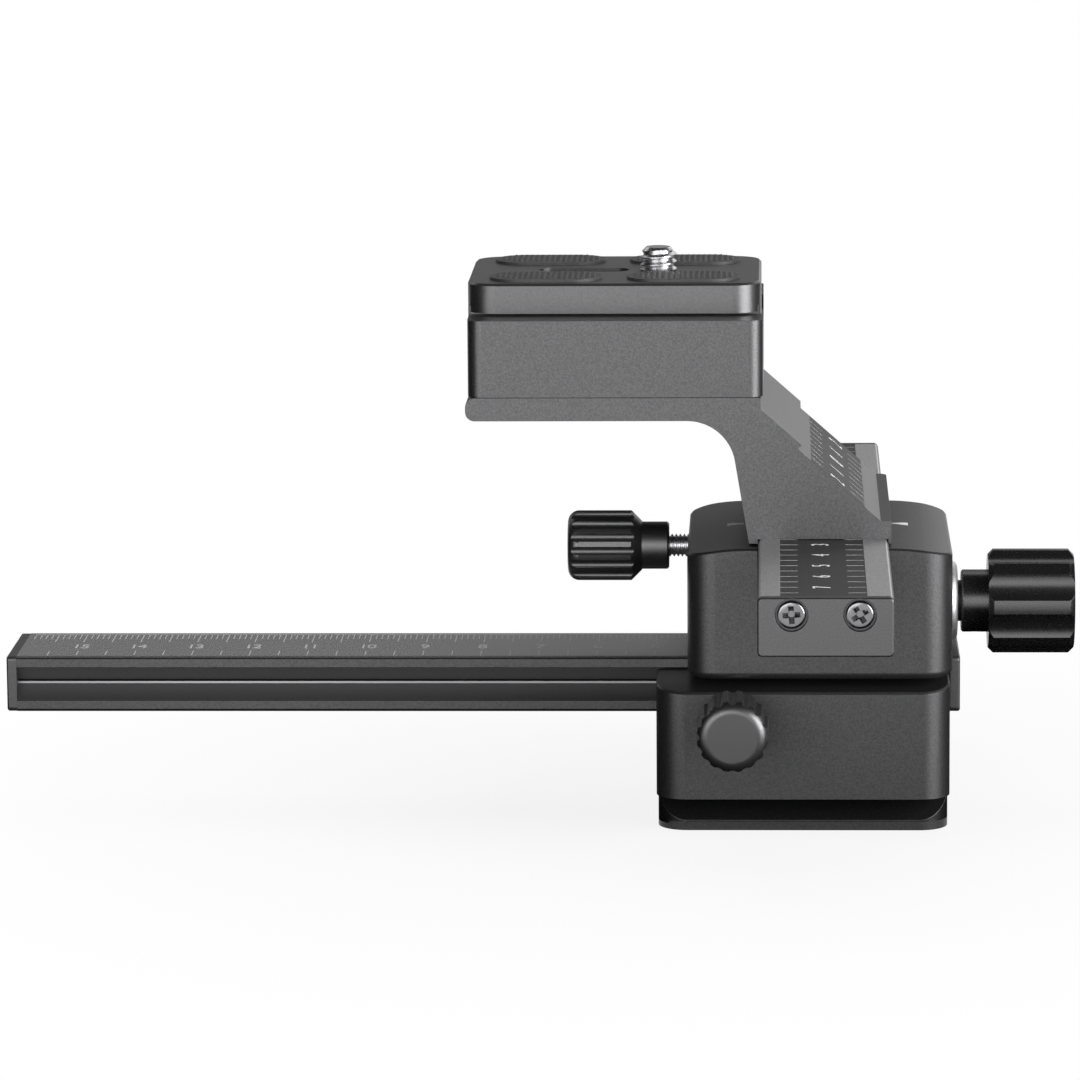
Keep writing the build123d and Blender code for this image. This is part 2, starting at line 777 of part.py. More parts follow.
# ---------------------------------------------------------------- riser bracket
def riser_bracket():
    """Cranked bracket: a saddle on the rail, a leaning web, a slope with a scale pocket, a top plate."""
    left_foot = -half_width - riser_fit - riser_left_lip
    right_foot = half_width + riser_fit + riser_right_lip
    saddle = upper_rail_top
    ledge = upper_rail_top + riser_ledge_height
    under = riser_top - riser_plate_thickness
    slope = tan(radians(riser_slope_angle))
    slope_foot = right_foot - riser_ledge_width
    step_z = ledge + (slope_foot + riser_step_x) * slope
    step_in = riser_step_height * sin(radians(riser_slope_angle))
    step_up = riser_step_height * cos(radians(riser_slope_angle))
    proud_z = ledge + step_up + (slope_foot + step_in + riser_slope_top_x) * slope
    web_top = left_foot - tan(radians(riser_web_lean)) * (under - riser_bottom)
    points = [
        (left_foot, riser_bottom),
        (-half_width - riser_fit, riser_bottom),
        (-half_width - riser_fit, saddle),
        (half_width + riser_fit, saddle),
        (half_width + riser_fit, riser_bottom),
        (right_foot, riser_bottom),
        (right_foot, ledge),
        (slope_foot, ledge),
        (-riser_step_x, step_z),
        (-riser_step_x + step_in, step_z + step_up),
        (-riser_slope_top_x, proud_z),
        (-riser_slope_top_x, riser_top),
        (-riser_reach, riser_top),
        (-riser_reach, under),
        (web_top, under),
    ]
    section = face_xz(points)
    body = along_y(section, riser_depth)
    uprights = body.edges().filter_by(Axis.Y)

    def near(x, z):
        return uprights.sort_by(lambda e: (e.center().X - x) ** 2 + (e.center().Z - z) ** 2)[0]

    body = fillet(near(web_top, under), riser_inner_radius)
    uprights = body.edges().filter_by(Axis.Y)
    body = fillet([near(-riser_reach, under), near(-riser_reach, riser_top)], riser_end_radius)
    corner = body.edges().filter_by(Axis.Z).sort_by(lambda e: e.center().X + e.center().Y)[-1]
    body = fillet(corner, riser_corner_radius)
    return Pos(upper_rail_x, upper_rail_offset, 0) * body


bracket = riser_bracket()
riser_hole_top = upper_rail_bottom + riser_screw_length + screw_end_gap
for x, y in riser_places:
    bracket -= rod_z(m3_hole_radius, riser_bottom - 1, riser_hole_top, x, y)
clamp_places = four_places(clamp_x, clamp_y, clamp_length / 2 - clamp_fix_inset, clamp_fix_y)
riser_under = riser_top - riser_plate_thickness
for x, y in clamp_places:
    bracket -= flat_screw_hole(x, y, riser_under, riser_plate_thickness + 1)
parts["riser_bracket"] = bracket
parts["clamp_screws"] = group([flat_screw(x, y, riser_under, clamp_fix_length) for x, y in clamp_places])


# ---------------------------------------------------------------- quick-release clamp
def jaw_profile(side):
    """Inner face of a jaw in (y, z), from the floor up, on the side given by -1 or 1."""
    lip = clamp_dovetail_width / 2 + jaw_clearance
    throat = lip - dovetail_slope
    lip_top = plate_bottom + dovetail_lip + jaw_clearance
    return [
        (side * lip, clamp_floor_top),
        (side * lip, lip_top),
        (side * throat, lip_top + dovetail_slope),
        (side * throat, clamp_top),
    ]


def yz_prism(points, length, middle=clamp_x):
    """Prism along X of a (y, z) outline about the clamp's middle line, centred on the given X."""
    outline = make_face(Polyline(*[(0, y, z) for y, z in points], close=True))
    body = extrude(outline, amount=length / 2, dir=(1, 0, 0), both=True)
    return Pos(middle, clamp_y, 0) * body


def clamp_column():
    """Outer form of the closed clamp."""
    return Pos(clamp_x, clamp_y, 0) * column(
        clamp_length, clamp_depth, clamp_bottom, clamp_top, clamp_corner_radius
    )


jaw_split = clamp_dovetail_width / 2 + jaw_clearance
jaw_back = clamp_depth / 2
jaw_inner = jaw_split + jaw_split_gap
jaw_bore_end = jaw_inner + clamp_travel + jaw_bore_reach
jaw_chest = jaw_profile(1)
jaw_bottom = clamp_bottom + jaw_floor_gap
jaw_shelf = clamp_floor_top + jaw_floor_gap

clamp_body = yz_prism(
    [(-jaw_back, clamp_bottom), (jaw_split, clamp_bottom), (jaw_split, clamp_floor_top)]
    + jaw_profile(-1)
    + [(-jaw_back, clamp_top)],
    clamp_length,
)
clamp_body &= clamp_column()
clamp_hole_top = riser_under + clamp_fix_length + screw_end_gap
for x, y in clamp_places:
    clamp_body -= rod_z(m3_hole_radius, clamp_bottom - 1, clamp_hole_top, x, y)
pin_places = [clamp_x - clamp_pin_spacing / 2, clamp_x + clamp_pin_spacing / 2]
pin_start = clamp_y + clamp_pin_start - clamp_dovetail_width / 2
pin_end = clamp_y + jaw_bore_end - clamp_pin_end_gap
screw_start = clamp_y + jaw_split - clamp_screw_depth
for x in pin_places:
    clamp_body -= rod_y(clamp_pin_radius, pin_start, clamp_y + jaw_back, x, clamp_axis)
clamp_body -= rod_y(
    clamp_screw_radius + clamp_screw_gap, screw_start - 1, clamp_y + jaw_back, clamp_x, clamp_axis
)
parts["clamp_body"] = clamp_body

clamp_jaw = yz_prism(
    [(jaw_inner, jaw_bottom), (jaw_back, jaw_bottom), (jaw_back, clamp_top)]
    + [jaw_chest[3], jaw_chest[2], jaw_chest[1]]
    + [(jaw_split, jaw_shelf), (jaw_inner, jaw_shelf)],
    clamp_length,
)
clamp_jaw &= clamp_column()
for x in pin_places:
    clamp_jaw -= rod_y(clamp_pin_radius + clamp_pin_fit, clamp_y, clamp_y + jaw_bore_end, x, clamp_axis)
clamp_jaw -= rod_y(
    clamp_screw_radius + jaw_screw_gap, clamp_y, clamp_y + jaw_back + 1, clamp_x, clamp_axis
)
parts["clamp_jaw"] = clamp_jaw
parts["guide_pins"] = group([rod_y(clamp_pin_radius, pin_start, pin_end, x, clamp_axis) for x in pin_places])


def clamp_knob():
    """Small lobed knob along y that closes the clamp."""
    start = clamp_y + jaw_back + clamp_knob_gap
    head_start = start + clamp_knob_neck
    head_end = head_start + clamp_knob_length
    neck = rod_y(lock_neck_radius, start, head_start + 1)
    head = rod_y(clamp_knob_radius, head_start, head_end)
    head = chamfer(head.edges().filter_by(GeomType.CIRCLE), clamp_knob_chamfer)
    cutter_middle = clamp_knob_radius - drive_flute_depth + drive_flute_radius
    for k in range(drive_lobes):
        flute = rod_y(drive_flute_radius, head_start - 1, head_end + 1, 0, cutter_middle)
        head -= Rot(0, k * 360 / drive_lobes, 0) * flute
    body = neck + head - rod_y(clamp_screw_radius, start - 1, head_start + clamp_screw_in_head)
    return Pos(clamp_x, 0, clamp_axis) * body


parts["clamp_knob"] = clamp_knob()
clamp_screw_end = clamp_y + jaw_back + clamp_knob_gap + clamp_knob_neck + clamp_screw_in_head
parts["clamp_spindle"] = rod_y(clamp_screw_radius, screw_start, clamp_screw_end, clamp_x, clamp_axis)


# ---------------------------------------------------------------- quick-release plate and camera screw
def stadium(length, width, z0, z1, x, y):
    """Upright solid with round ends."""
    return Pos(x, y, z0) * extrude(SlotOverall(length, width), amount=z1 - z0)


pad_places = four_places(plate_x, clamp_y, pad_x, pad_y)


def qr_plate():
    """Plate with a 45 degree dovetail below, pockets for the pads, a slot and the camera screw's hole."""
    half = clamp_dovetail_width / 2
    throat = half - dovetail_slope
    lip_top = plate_bottom + dovetail_lip
    rail_part = yz_prism(
        [
            (-half, plate_bottom), (half, plate_bottom), (half, lip_top),
            (throat, lip_top + dovetail_slope), (throat, plate_shoulder + 1),
            (-throat, plate_shoulder + 1), (-throat, lip_top + dovetail_slope), (-half, lip_top),
        ],
        plate_length,
        plate_x,
    )
    body = column(plate_length, plate_body_width, plate_shoulder, plate_top, plate_corner_radius)
    body = chamfer(body.faces().sort_by(Axis.Z)[-1].edges(), plate_edge_chamfer)
    body = Pos(plate_x, clamp_y, 0) * body
    body += rail_part & Pos(plate_x, clamp_y, 0) * column(
        plate_length, clamp_dovetail_width, plate_bottom - 1, plate_top, plate_corner_radius
    )
    for x, y in pad_places:
        body -= stadium(pad_length, pad_width, plate_top - pad_sunk, plate_top + 1, x, y)
    slot_x = plate_x + plate_slot_x
    body -= stadium(plate_slot_length, plate_slot_width, plate_bottom - 1, plate_top + 1, slot_x, clamp_y)
    recess_top = plate_bottom + plate_recess_depth
    body -= rod_z(plate_recess_radius, plate_bottom - 1, recess_top, camera_x, clamp_y)
    return body - rod_z(camera_hole_radius, plate_bottom, plate_top + 1, camera_x, clamp_y)


parts["qr_plate"] = qr_plate()
parts["rubber_pads"] = group(
    [stadium(pad_length, pad_width, plate_top - pad_sunk, plate_top + pad_proud, x, y)
     for x, y in pad_places]
)


def camera_screw():
    """1/4 inch captive screw: slotted head below, slim neck in the plate, bevelled thread above."""
    head_top = plate_bottom + plate_recess_depth - camera_head_gap
    head_bottom = head_top - camera_head_height
    top = plate_top + camera_screw_proud
    thread = rod_z(camera_screw_radius, plate_top + camera_thread_lift, top, camera_x, clamp_y)
    thread = chamfer(thread.edges().filter_by(GeomType.CIRCLE).sort_by(Axis.Z)[-1], camera_tip_bevel)
    thread += rod_z(camera_neck_radius, head_bottom, top - camera_tip_bevel, camera_x, clamp_y)
    head = rod_z(camera_head_radius, head_bottom, head_top, camera_x, clamp_y)
    head -= box(
        camera_x - camera_head_radius, camera_x + camera_head_radius,
        clamp_y - coin_slot_width / 2, clamp_y + coin_slot_width / 2,
        head_bottom - 1, head_bottom + coin_slot_depth,
    )
    ear_z = (head_bottom + head_top) / 2
    pivot = ring_wire_radius + ring_pivot_gap
    for side in (-1, 1):
        wall = clamp_y + side * camera_head_radius
        head -= rod_y(pivot, wall - side * ring_pivot_depth, wall + side, camera_x, ear_z)
    return head + thread


def d_ring():
    """Bent wire handle that folds flat under the camera screw's head."""
    head_top = plate_bottom + plate_recess_depth - camera_head_gap
    z = head_top - camera_head_height / 2
    outer = camera_head_radius + ring_wire_radius + ring_gap
    bow = camera_x - ring_reach + outer
    path = Line((camera_x, clamp_y - outer, z), (bow, clamp_y - outer, z))
    path += ThreePointArc(
        (bow, clamp_y - outer, z), (bow - outer, clamp_y, z), (bow, clamp_y + outer, z)
    )
    path += Line((bow, clamp_y + outer, z), (camera_x, clamp_y + outer, z))
    wire = sweep(Plane((camera_x, clamp_y - outer, z), z_dir=(-1, 0, 0)) * Circle(ring_wire_radius), path)
    for side in (-1, 1):
        inner = clamp_y + side * (camera_head_radius - ring_pivot_length)
        wire += rod_y(ring_wire_radius, inner, clamp_y + side * outer, camera_x, z)
    return wire


parts["camera_screw"] = camera_screw()
parts["camera_screw_ring"] = d_ring()

# ---------------------------------------------------------------- files
os.makedirs("parts", exist_ok=True)
for name, solid in parts.items():
    export_step(solid, f"parts/{name}.step")
print(len(parts), "nodes written; drive axis height above the foot", round(upper_mid + drive_axis, 2))
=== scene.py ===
# %% [markdown]
# # A macro focusing rail
# The frame is the CAD model of the rail: every node is a real piece at its real place, in metres.
# We dress those pieces with materials, and add what is too fine for the solids: the printed
# scales, the screw threads, the cross recesses and the pads' emboss. First we load the frame and
# note its box.

# %% Load the frame
from math import ceil, cos, pi, radians, sin

import bpy
from mathutils import Matrix, Vector


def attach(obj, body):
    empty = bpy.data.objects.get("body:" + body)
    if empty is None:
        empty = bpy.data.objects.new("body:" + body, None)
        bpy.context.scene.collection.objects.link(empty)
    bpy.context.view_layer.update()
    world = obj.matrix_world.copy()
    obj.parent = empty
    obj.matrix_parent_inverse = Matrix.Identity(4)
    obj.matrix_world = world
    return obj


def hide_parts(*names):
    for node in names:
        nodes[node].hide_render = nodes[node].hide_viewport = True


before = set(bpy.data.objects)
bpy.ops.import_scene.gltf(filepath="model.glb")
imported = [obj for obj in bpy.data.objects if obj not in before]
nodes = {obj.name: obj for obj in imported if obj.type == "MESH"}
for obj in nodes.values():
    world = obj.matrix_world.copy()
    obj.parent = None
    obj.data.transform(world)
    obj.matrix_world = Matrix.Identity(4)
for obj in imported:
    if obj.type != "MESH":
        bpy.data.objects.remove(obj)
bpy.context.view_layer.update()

# %% [markdown]
# All sizes below are millimetres, because that is how the maker would give them. Blender works in
# metres, so one small function converts a length and another a point. The others stand for a
# click on an object, for keeping a new object's place in its mesh, and for reading where a CAD
# piece is.


# %% Millimetres to metres
def mm(length):
    return length / 1000


def point(x, y, z):
    return Vector((mm(x), mm(y), mm(z)))


def deselect():
    for thing in bpy.context.selected_objects:
        thing.select_set(False)


def only(thing):
    """Make one object the selected and active one, as a click on it would."""
    deselect()
    thing.select_set(True)
    bpy.context.view_layer.objects.active = thing


def keep_place(thing, name=None):
    """Put an object's place, turn and size into its mesh, and name it."""
    only(thing)
    bpy.ops.object.transform_apply(location=True, rotation=True, scale=True)
    if name:
        thing.name = name
    return thing


def place_of(name):
    """The box of a CAD node in millimetres, as its low and its high corner."""
    corners = [vertex.co * 1000 for vertex in nodes[name].data.vertices]
    low = Vector([min(c[axis] for c in corners) for axis in range(3)])
    high = Vector([max(c[axis] for c in corners) for axis in range(3)])
    return low, high


LOWER_TOP = place_of("lower_rail")[1].z
UPPER_TOP = place_of("upper_rail")[1].z
print("rail tops at", round(LOWER_TOP, 2), round(UPPER_TOP, 2))

# %% [markdown]
# ## The camera
# The photograph was taken with a long lens from a little above the rail. The camera was fitted
# to the rail's own scale, so its place and its angles are in the same frame as the pieces.

# %% Camera
PAN_LEFT, TILT_DOWN, ROLL = radians(2.27626), radians(9.864), radians(-0.44146)
LENS_PIXELS, FRAME_PIXELS, SENSOR_WIDTH = 6029.075, 1080, 36
CAMERA_PLACE = point(-4.547, -1028.764, 226.241)

ahead = Vector((-sin(PAN_LEFT) * cos(TILT_DOWN), cos(PAN_LEFT) * cos(TILT_DOWN), -sin(TILT_DOWN)))
level_right = Vector((cos(PAN_LEFT), sin(PAN_LEFT), 0))
level_up = level_right.cross(ahead)
right = cos(ROLL) * level_right + sin(ROLL) * level_up
up = cos(ROLL) * level_up - sin(ROLL) * level_right

deselect()
bpy.ops.object.camera_add()
camera = bpy.context.object
camera.name = "photo_camera"
camera.data.sensor_width = SENSOR_WIDTH
camera.data.lens = LENS_PIXELS / FRAME_PIXELS * SENSOR_WIDTH
camera.data.dof.use_dof = False
camera.data.clip_start = 0.05
camera.data.clip_end = 20
facing = Matrix((right, up, -ahead)).transposed().to_4x4()
camera.matrix_world = Matrix.Translation(CAMERA_PLACE) @ facing
bpy.context.scene.camera = camera
bpy.context.scene.view_settings.view_transform = "Standard"
print("lens", round(camera.data.lens, 1), "mm")

# %% [markdown]
# ## Materials
# A hex colour is sRGB, as on a screen, and the shader wants linear light, so one function turns
# one into the other. A second one adds a node to a material, sets it and links it. Every
# material is then written out as the finish it stands for.


# %% Colour and node helpers
def linear(hex_colour):
    channels = [int(hex_colour[i:i + 2], 16) / 255 for i in (1, 3, 5)]
    low = [c / 12.92 if c <= 0.04045 else ((c + 0.055) / 1.055) ** 2.4 for c in channels]
    return (*low, 1)


def add(material, kind, links=None, sockets=None, **settings):
    """Add a node, with its settings, its socket values and its incoming links."""
    node = material.node_tree.nodes.new(kind)
    for name, value in settings.items():
        setattr(node, name, value)
    for name, value in (sockets or {}).items():
        node.inputs[name].default_value = value
    for name, source in (links or {}).items():
        material.node_tree.links.new(source, node.inputs[name])
    return node


def new_material(name):
    """An empty material with only its output."""
    material = bpy.data.materials.new(name)
    material.use_nodes = True
    material.node_tree.nodes.clear()
    output = add(material, "ShaderNodeOutputMaterial")
    return material, output


def finish_surface(material, output, shader):
    material.node_tree.links.new(shader.outputs[0], output.inputs["Surface"])
    print("material", material.name)
    return material


print("a middle grey, #808080, is", round(linear("#808080")[0], 3), "in linear light")

# %% [markdown]
# ### Bead-blasted anodised aluminium
# Blocks, clamp and caps are milled, blasted with fine glass beads and dyed in the anodising
# bath. The eye sees an even satin grey that darkens where it turns to something dark, with a
# fine sparkle: each bead leaves a dimple of a tenth of a millimetre or so. The grain is drawn at
# 0.3 mm, a little coarser, so that it shows at this distance, and it changes both the tone and
# the slope of the surface.

# %% Blasted finish
GRAIN, SPARKLE = 0.3, 0.2
ANODISED = 0.9  # metallic: the dyed oxide keeps a little of the light


def blasted_grain(material, place, grain=GRAIN, sparkle=SPARKLE):
    """Fine noise as a tone about 1, and as a bump."""
    fine = add(material, "ShaderNodeTexNoise", {"Vector": place.outputs["Object"]},
               {"Scale": 1 / mm(grain), "Detail": 2.0, "Roughness": 0.6})
    tone = add(material, "ShaderNodeMapRange", {"Value": fine.outputs["Fac"]},
               {"From Min": 0.3, "From Max": 0.7, "To Min": 1 - sparkle, "To Max": 1 + sparkle})
    bump = add(material, "ShaderNodeBump", {"Height": fine.outputs["Fac"]},
               {"Strength": 0.25, "Distance": mm(0.02)})
    return tone, bump


def blasted_aluminium(name, colour, roughness, grain=GRAIN, sparkle=SPARKLE):
    material, output = new_material(name)
    place = add(material, "ShaderNodeTexCoord")
    tone, bump = blasted_grain(material, place, grain, sparkle)
    tint = add(material, "ShaderNodeVectorMath", {"Scale": tone.outputs[0]},
               {0: linear(colour)[:3]}, operation="SCALE")
    shader = add(material, "ShaderNodeBsdfPrincipled",
                 {"Base Color": tint.outputs[0], "Normal": bump.outputs[0]},
                 {"Metallic": ANODISED, "Roughness": roughness})
    return finish_surface(material, output, shader)


block_black = blasted_aluminium("blasted_black_anodised_block", "#5a5a5b", 0.4)
# The foot plate takes a darker copy of the blocks' finish: painted shade for how dark it sits low
# by the table.
shaded_foot_black = blasted_aluminium("blasted_black_anodised_foot_painted_shade", "#3c3c3d", 0.4)
plate_grey = blasted_aluminium("fine_blasted_anodised_plate", "#6c6c6d", 0.36, sparkle=0.1)
clamp_grey = blasted_aluminium("blasted_grey_anodised_clamp", "#626263", 0.38)
cap_grey = blasted_aluminium("fine_blasted_anodised_cap", "#626263", 0.42, grain=0.25,
                             sparkle=0.15)

# %% [markdown]
# ### The riser's slope
# The riser is blasted like the clamp, but its sloping pocket is milled after the blasting, so it
# has a smooth, slightly darker band that carries the scale, between two bands that stayed
# blasted. Two dot products turn a place into a height above the slope and a distance down it.

# %% Riser finish
SLOPE_TOP = (-0.8, 0, 66.59)
SLOPE_ANGLE = radians(41.5)
SMOOTH_START, SMOOTH_END = 2.9, 15.0
ON_SLOPE = 0.06  # a place this near to the slope's plane belongs to it

bracket_grey, output = new_material("blasted_grey_anodised_riser")
place = add(bracket_grey, "ShaderNodeTexCoord")
tone, bump = blasted_grain(bracket_grey, place)
from_top = add(bracket_grey, "ShaderNodeVectorMath", {0: place.outputs["Object"]},
               {1: point(*SLOPE_TOP)}, operation="SUBTRACT")
down = add(bracket_grey, "ShaderNodeVectorMath", {0: from_top.outputs[0]},
           {1: (cos(SLOPE_ANGLE), 0, -sin(SLOPE_ANGLE))}, operation="DOT_PRODUCT")
above = add(bracket_grey, "ShaderNodeVectorMath", {0: from_top.outputs[0]},
            {1: (sin(SLOPE_ANGLE), 0, cos(SLOPE_ANGLE))}, operation="DOT_PRODUCT")
on_band = add(bracket_grey, "ShaderNodeMath", {0: down.outputs["Value"]},
              {1: mm((SMOOTH_START + SMOOTH_END) / 2), 2: mm((SMOOTH_END - SMOOTH_START) / 2)},
              operation="COMPARE")
on_slope = add(bracket_grey, "ShaderNodeMath", {0: above.outputs["Value"]},
               {1: 0.0, 2: mm(ON_SLOPE)}, operation="COMPARE")
smooth = add(bracket_grey, "ShaderNodeMath", {0: on_band.outputs[0], 1: on_slope.outputs[0]},
             operation="MULTIPLY")
blasted = add(bracket_grey, "ShaderNodeVectorMath", {"Scale": tone.outputs[0]},
              {0: linear("#646465")[:3]}, operation="SCALE")
tint = add(bracket_grey, "ShaderNodeMix", {"Factor": smooth.outputs[0], "A": blasted.outputs[0]},
           {"B": linear("#4c4c4d")}, data_type="RGBA")
sheen = add(bracket_grey, "ShaderNodeMapRange", {"Value": smooth.outputs[0]},
            {"To Min": 1.0, "To Max": 0.6})
shader = add(bracket_grey, "ShaderNodeBsdfPrincipled",
             {"Base Color": tint.outputs[2], "Normal": bump.outputs[0],
              "Specular Tint": sheen.outputs[0]},
             {"Metallic": ANODISED, "Roughness": 0.4})
bracket_grey = finish_surface(bracket_grey, output, shader)

# %% [markdown]
# ### Rail extrusions
# The rails are drawn bars. Their lands are blasted like the blocks, and the level tops get a much
# lighter colour than the sides: a painted highlight for the light from above. The V grooves are
# milled for the ridges that run in them, so their metal is a little lighter. The upper rail has a
# smooth darker strip down its middle that carries the scale. Low on the floor of each groove lies
# a bright bare-metal line, worn by the gib and painted brighter as a reflection; above it lies a
# dark line of painted shade. All these places come from the object's own coordinates, so they stay
# on the rail when it slides. Heights count from the grooves' middle.

# %% Rail finish
LAND_SIDE = 10.9  # the lands' sides are further than this from the rail's middle plane
HALF_GROOVE, TOP_RISE = 2.9, 4.6
# The near-black line over each groove's floor is painted shade.
SHADE_LINE_HEIGHT, SHADE_LINE_HALF = 0.2, 0.17
# The bright line under it is worn metal, and also a painted reflection.
WORN_SHINE_HEIGHT, WORN_SHINE_HALF = -0.17, 0.16


def rail_aluminium(name, lit_top_colour, across, middle, groove_height, strip=None):
    """A rail bar along one axis: its middle across the other, and its grooves' height."""
    material, output = new_material(name)
    place = add(material, "ShaderNodeTexCoord")
    axes = add(material, "ShaderNodeSeparateXYZ", {"Vector": place.outputs["Object"]})
    tone, bump = blasted_grain(material, place)
    colour = add(material, "ShaderNodeVectorMath", {"Scale": tone.outputs[0]},
                 {0: linear("#5c5c5d")[:3]}, operation="SCALE").outputs[0]
    offset = add(material, "ShaderNodeMath", {0: axes.outputs[across]}, {1: mm(middle)},
                 operation="SUBTRACT")
    side = add(material, "ShaderNodeMath", {0: offset.outputs[0]}, operation="ABSOLUTE")
    in_groove = add(material, "ShaderNodeMath", {0: side.outputs[0]}, {1: mm(LAND_SIDE)},
                    operation="LESS_THAN")
    beside = add(material, "ShaderNodeMath", {0: axes.outputs["Z"]},
                 {1: mm(groove_height), 2: mm(HALF_GROOVE)}, operation="COMPARE")
    groove = add(material, "ShaderNodeMath", {0: in_groove.outputs[0], 1: beside.outputs[0]},
                 operation="MULTIPLY")
    colour = add(material, "ShaderNodeMix", {"Factor": groove.outputs[0], "A": colour},
                 {"B": linear("#707071")}, data_type="RGBA").outputs[2]
    # The level top gets a much lighter colour than the sides: a painted highlight for the light
    # from above.
    ground = add(material, "ShaderNodeVectorMath", {"Scale": tone.outputs[0]},
                 {0: linear(lit_top_colour)[:3]}, operation="SCALE")
    on_top = add(material, "ShaderNodeMath", {0: axes.outputs["Z"]},
                 {1: mm(groove_height + TOP_RISE)}, operation="GREATER_THAN")
    colour = add(material, "ShaderNodeMix",
                 {"Factor": on_top.outputs[0], "A": colour, "B": ground.outputs[0]},
                 data_type="RGBA").outputs[2]
    sheen = None
    if strip:
        strip_middle, width = strip
        inside = add(material, "ShaderNodeMath", {0: axes.outputs[across]},
                     {1: mm(strip_middle), 2: mm(width / 2)}, operation="COMPARE")
        dyed = add(material, "ShaderNodeMath", {0: inside.outputs[0], 1: on_top.outputs[0]},
                   operation="MULTIPLY")
        colour = add(material, "ShaderNodeMix", {"Factor": dyed.outputs[0], "A": colour},
                     {"B": linear("#4e4e4f")}, data_type="RGBA").outputs[2]
        sheen = add(material, "ShaderNodeMapRange", {"Value": dyed.outputs[0]},
                    {"To Min": 1.0, "To Max": 0.95})
    # A near-black line high on the groove's floor: painted shade.
    painted_shade_line = add(material, "ShaderNodeMath", {0: axes.outputs["Z"]},
                 {1: mm(groove_height + SHADE_LINE_HEIGHT), 2: mm(SHADE_LINE_HALF)}, operation="COMPARE")
    colour = add(material, "ShaderNodeMix", {"Factor": painted_shade_line.outputs[0], "A": colour},
                 {"B": linear("#0c0c0c")}, data_type="RGBA").outputs[2]
    shader = add(material, "ShaderNodeBsdfPrincipled",
                 {"Base Color": colour, "Normal": bump.outputs[0]},
                 {"Metallic": ANODISED, "Roughness": 0.42})
    if sheen:
        material.node_tree.links.new(sheen.outputs[0], shader.inputs["Specular Tint"])
    # A bright bare-metal line low on the groove's floor: worn by the gib, and also a painted
    # reflection.
    worn_shine_line = add(material, "ShaderNodeMath", {0: axes.outputs["Z"]},
               {1: mm(groove_height + WORN_SHINE_HEIGHT), 2: mm(WORN_SHINE_HALF)}, operation="COMPARE")
    bare_shine = add(material, "ShaderNodeBsdfPrincipled", None,
               {"Base Color": linear("#b9b9bb"), "Metallic": 1.0, "Roughness": 0.3})
    both = add(material, "ShaderNodeMixShader",
               {0: worn_shine_line.outputs[0], 1: shader.outputs[0], 2: bare_shine.outputs[0]})
    return finish_surface(material, output, both)


LOWER_GROOVE, UPPER_GROOVE, UPPER_MIDDLE_X = 23.95, 46.3, 3.4
SCALE_STRIP = (3.1, 14.0)  # its middle in x and its width
lower_rail_finish = rail_aluminium("anodised_rail_bar_lower", "#a6a6a7", "Y", 0.0, LOWER_GROOVE)
upper_rail_finish = rail_aluminium("anodised_rail_bar_upper", "#c4c4c5", "X", UPPER_MIDDLE_X,
                                   UPPER_GROOVE, SCALE_STRIP)

# %% [markdown]
# ### Knobs and small black pieces
# The knobs are turned and fluted, then anodised deep black: the dye takes nearly all the light,
# but a satin highlight stays along each lobe. The lock knobs are tumbled, so theirs is softer.
# The gib strips and the collars are black acetal, the hidden screws black oxide steel. Turning
# marks are finer than can be seen, so they are drawn as a roughness that drifts over 0.4 mm.

# %% Knob finish
TURNING_GRAIN = 0.4


def turned_finish(name, colour, roughness, metallic=1.0, spread=0.06):
    """An even colour whose roughness drifts by the spread to either side."""
    material, output = new_material(name)
    place = add(material, "ShaderNodeTexCoord")
    grain = add(material, "ShaderNodeTexNoise", {"Vector": place.outputs["Object"]},
                {"Scale": 1 / mm(TURNING_GRAIN), "Detail": 3.0, "Roughness": 0.6})
    rough = add(material, "ShaderNodeMapRange", {"Value": grain.outputs["Fac"]},
                {"From Min": 0.3, "From Max": 0.7, "To Min": roughness - spread,
                 "To Max": roughness + spread})
    shader = add(material, "ShaderNodeBsdfPrincipled", {"Roughness": rough.outputs[0]},
                 {"Base Color": linear(colour), "Metallic": metallic})
    return finish_surface(material, output, shader)


knob_black = turned_finish("turned_black_anodised_knob", "#585859", 0.27, 0.95, 0.04)
lock_knob_black = turned_finish("tumbled_black_anodised_knob", "#666667", 0.38, 0.95, 0.04)
acetal_black = turned_finish("black_acetal", "#131314", 0.5, 0.0, 0.04)
oxide_black = turned_finish("black_oxide_steel", "#3a3a3b", 0.4, 0.9, 0.04)

# %% [markdown]
# ### Bright metals
# Studs, pins and screws are plated or bare steel. Their brightness is all reflection, so the
# roughness decides how sharply they show the lamps: the nickel screws sharpest, the turned
# bushes softest.

# %% Bright metals
plated_steel = turned_finish("bright_plated_steel", "#dcdcde", 0.3)
nickel_steel = turned_finish("nickel_plated_screw", "#8a8a8c", 0.2)
machined_steel = turned_finish("bare_machined_steel", "#8d8d8f", 0.35)
bush_steel = turned_finish("turned_bush_steel", "#dadadc", 0.5)

# %% [markdown]
# ### Rubber and ink
# The pads are moulded rubber, matte and nearly black, with a faint bloom. The scales are laser
# marked: a light grey that is a little uneven where the beam met the grain.


# %% Rubber and ink
def matte_mottle(name, low, high, size, roughness):
    """A matte surface whose tone drifts between two colours over a given size."""
    material, output = new_material(name)
    place = add(material, "ShaderNodeTexCoord")
    drift = add(material, "ShaderNodeTexNoise", {"Vector": place.outputs["Object"]},
                {"Scale": 1 / mm(size), "Detail": 2.0})
    tone = add(material, "ShaderNodeMix", {"Factor": drift.outputs["Fac"]},
               {"A": linear(low), "B": linear(high)}, data_type="RGBA")
    shader = add(material, "ShaderNodeBsdfPrincipled", {"Base Color": tone.outputs[2]},
                 {"Roughness": roughness})
    return finish_surface(material, output, shader)


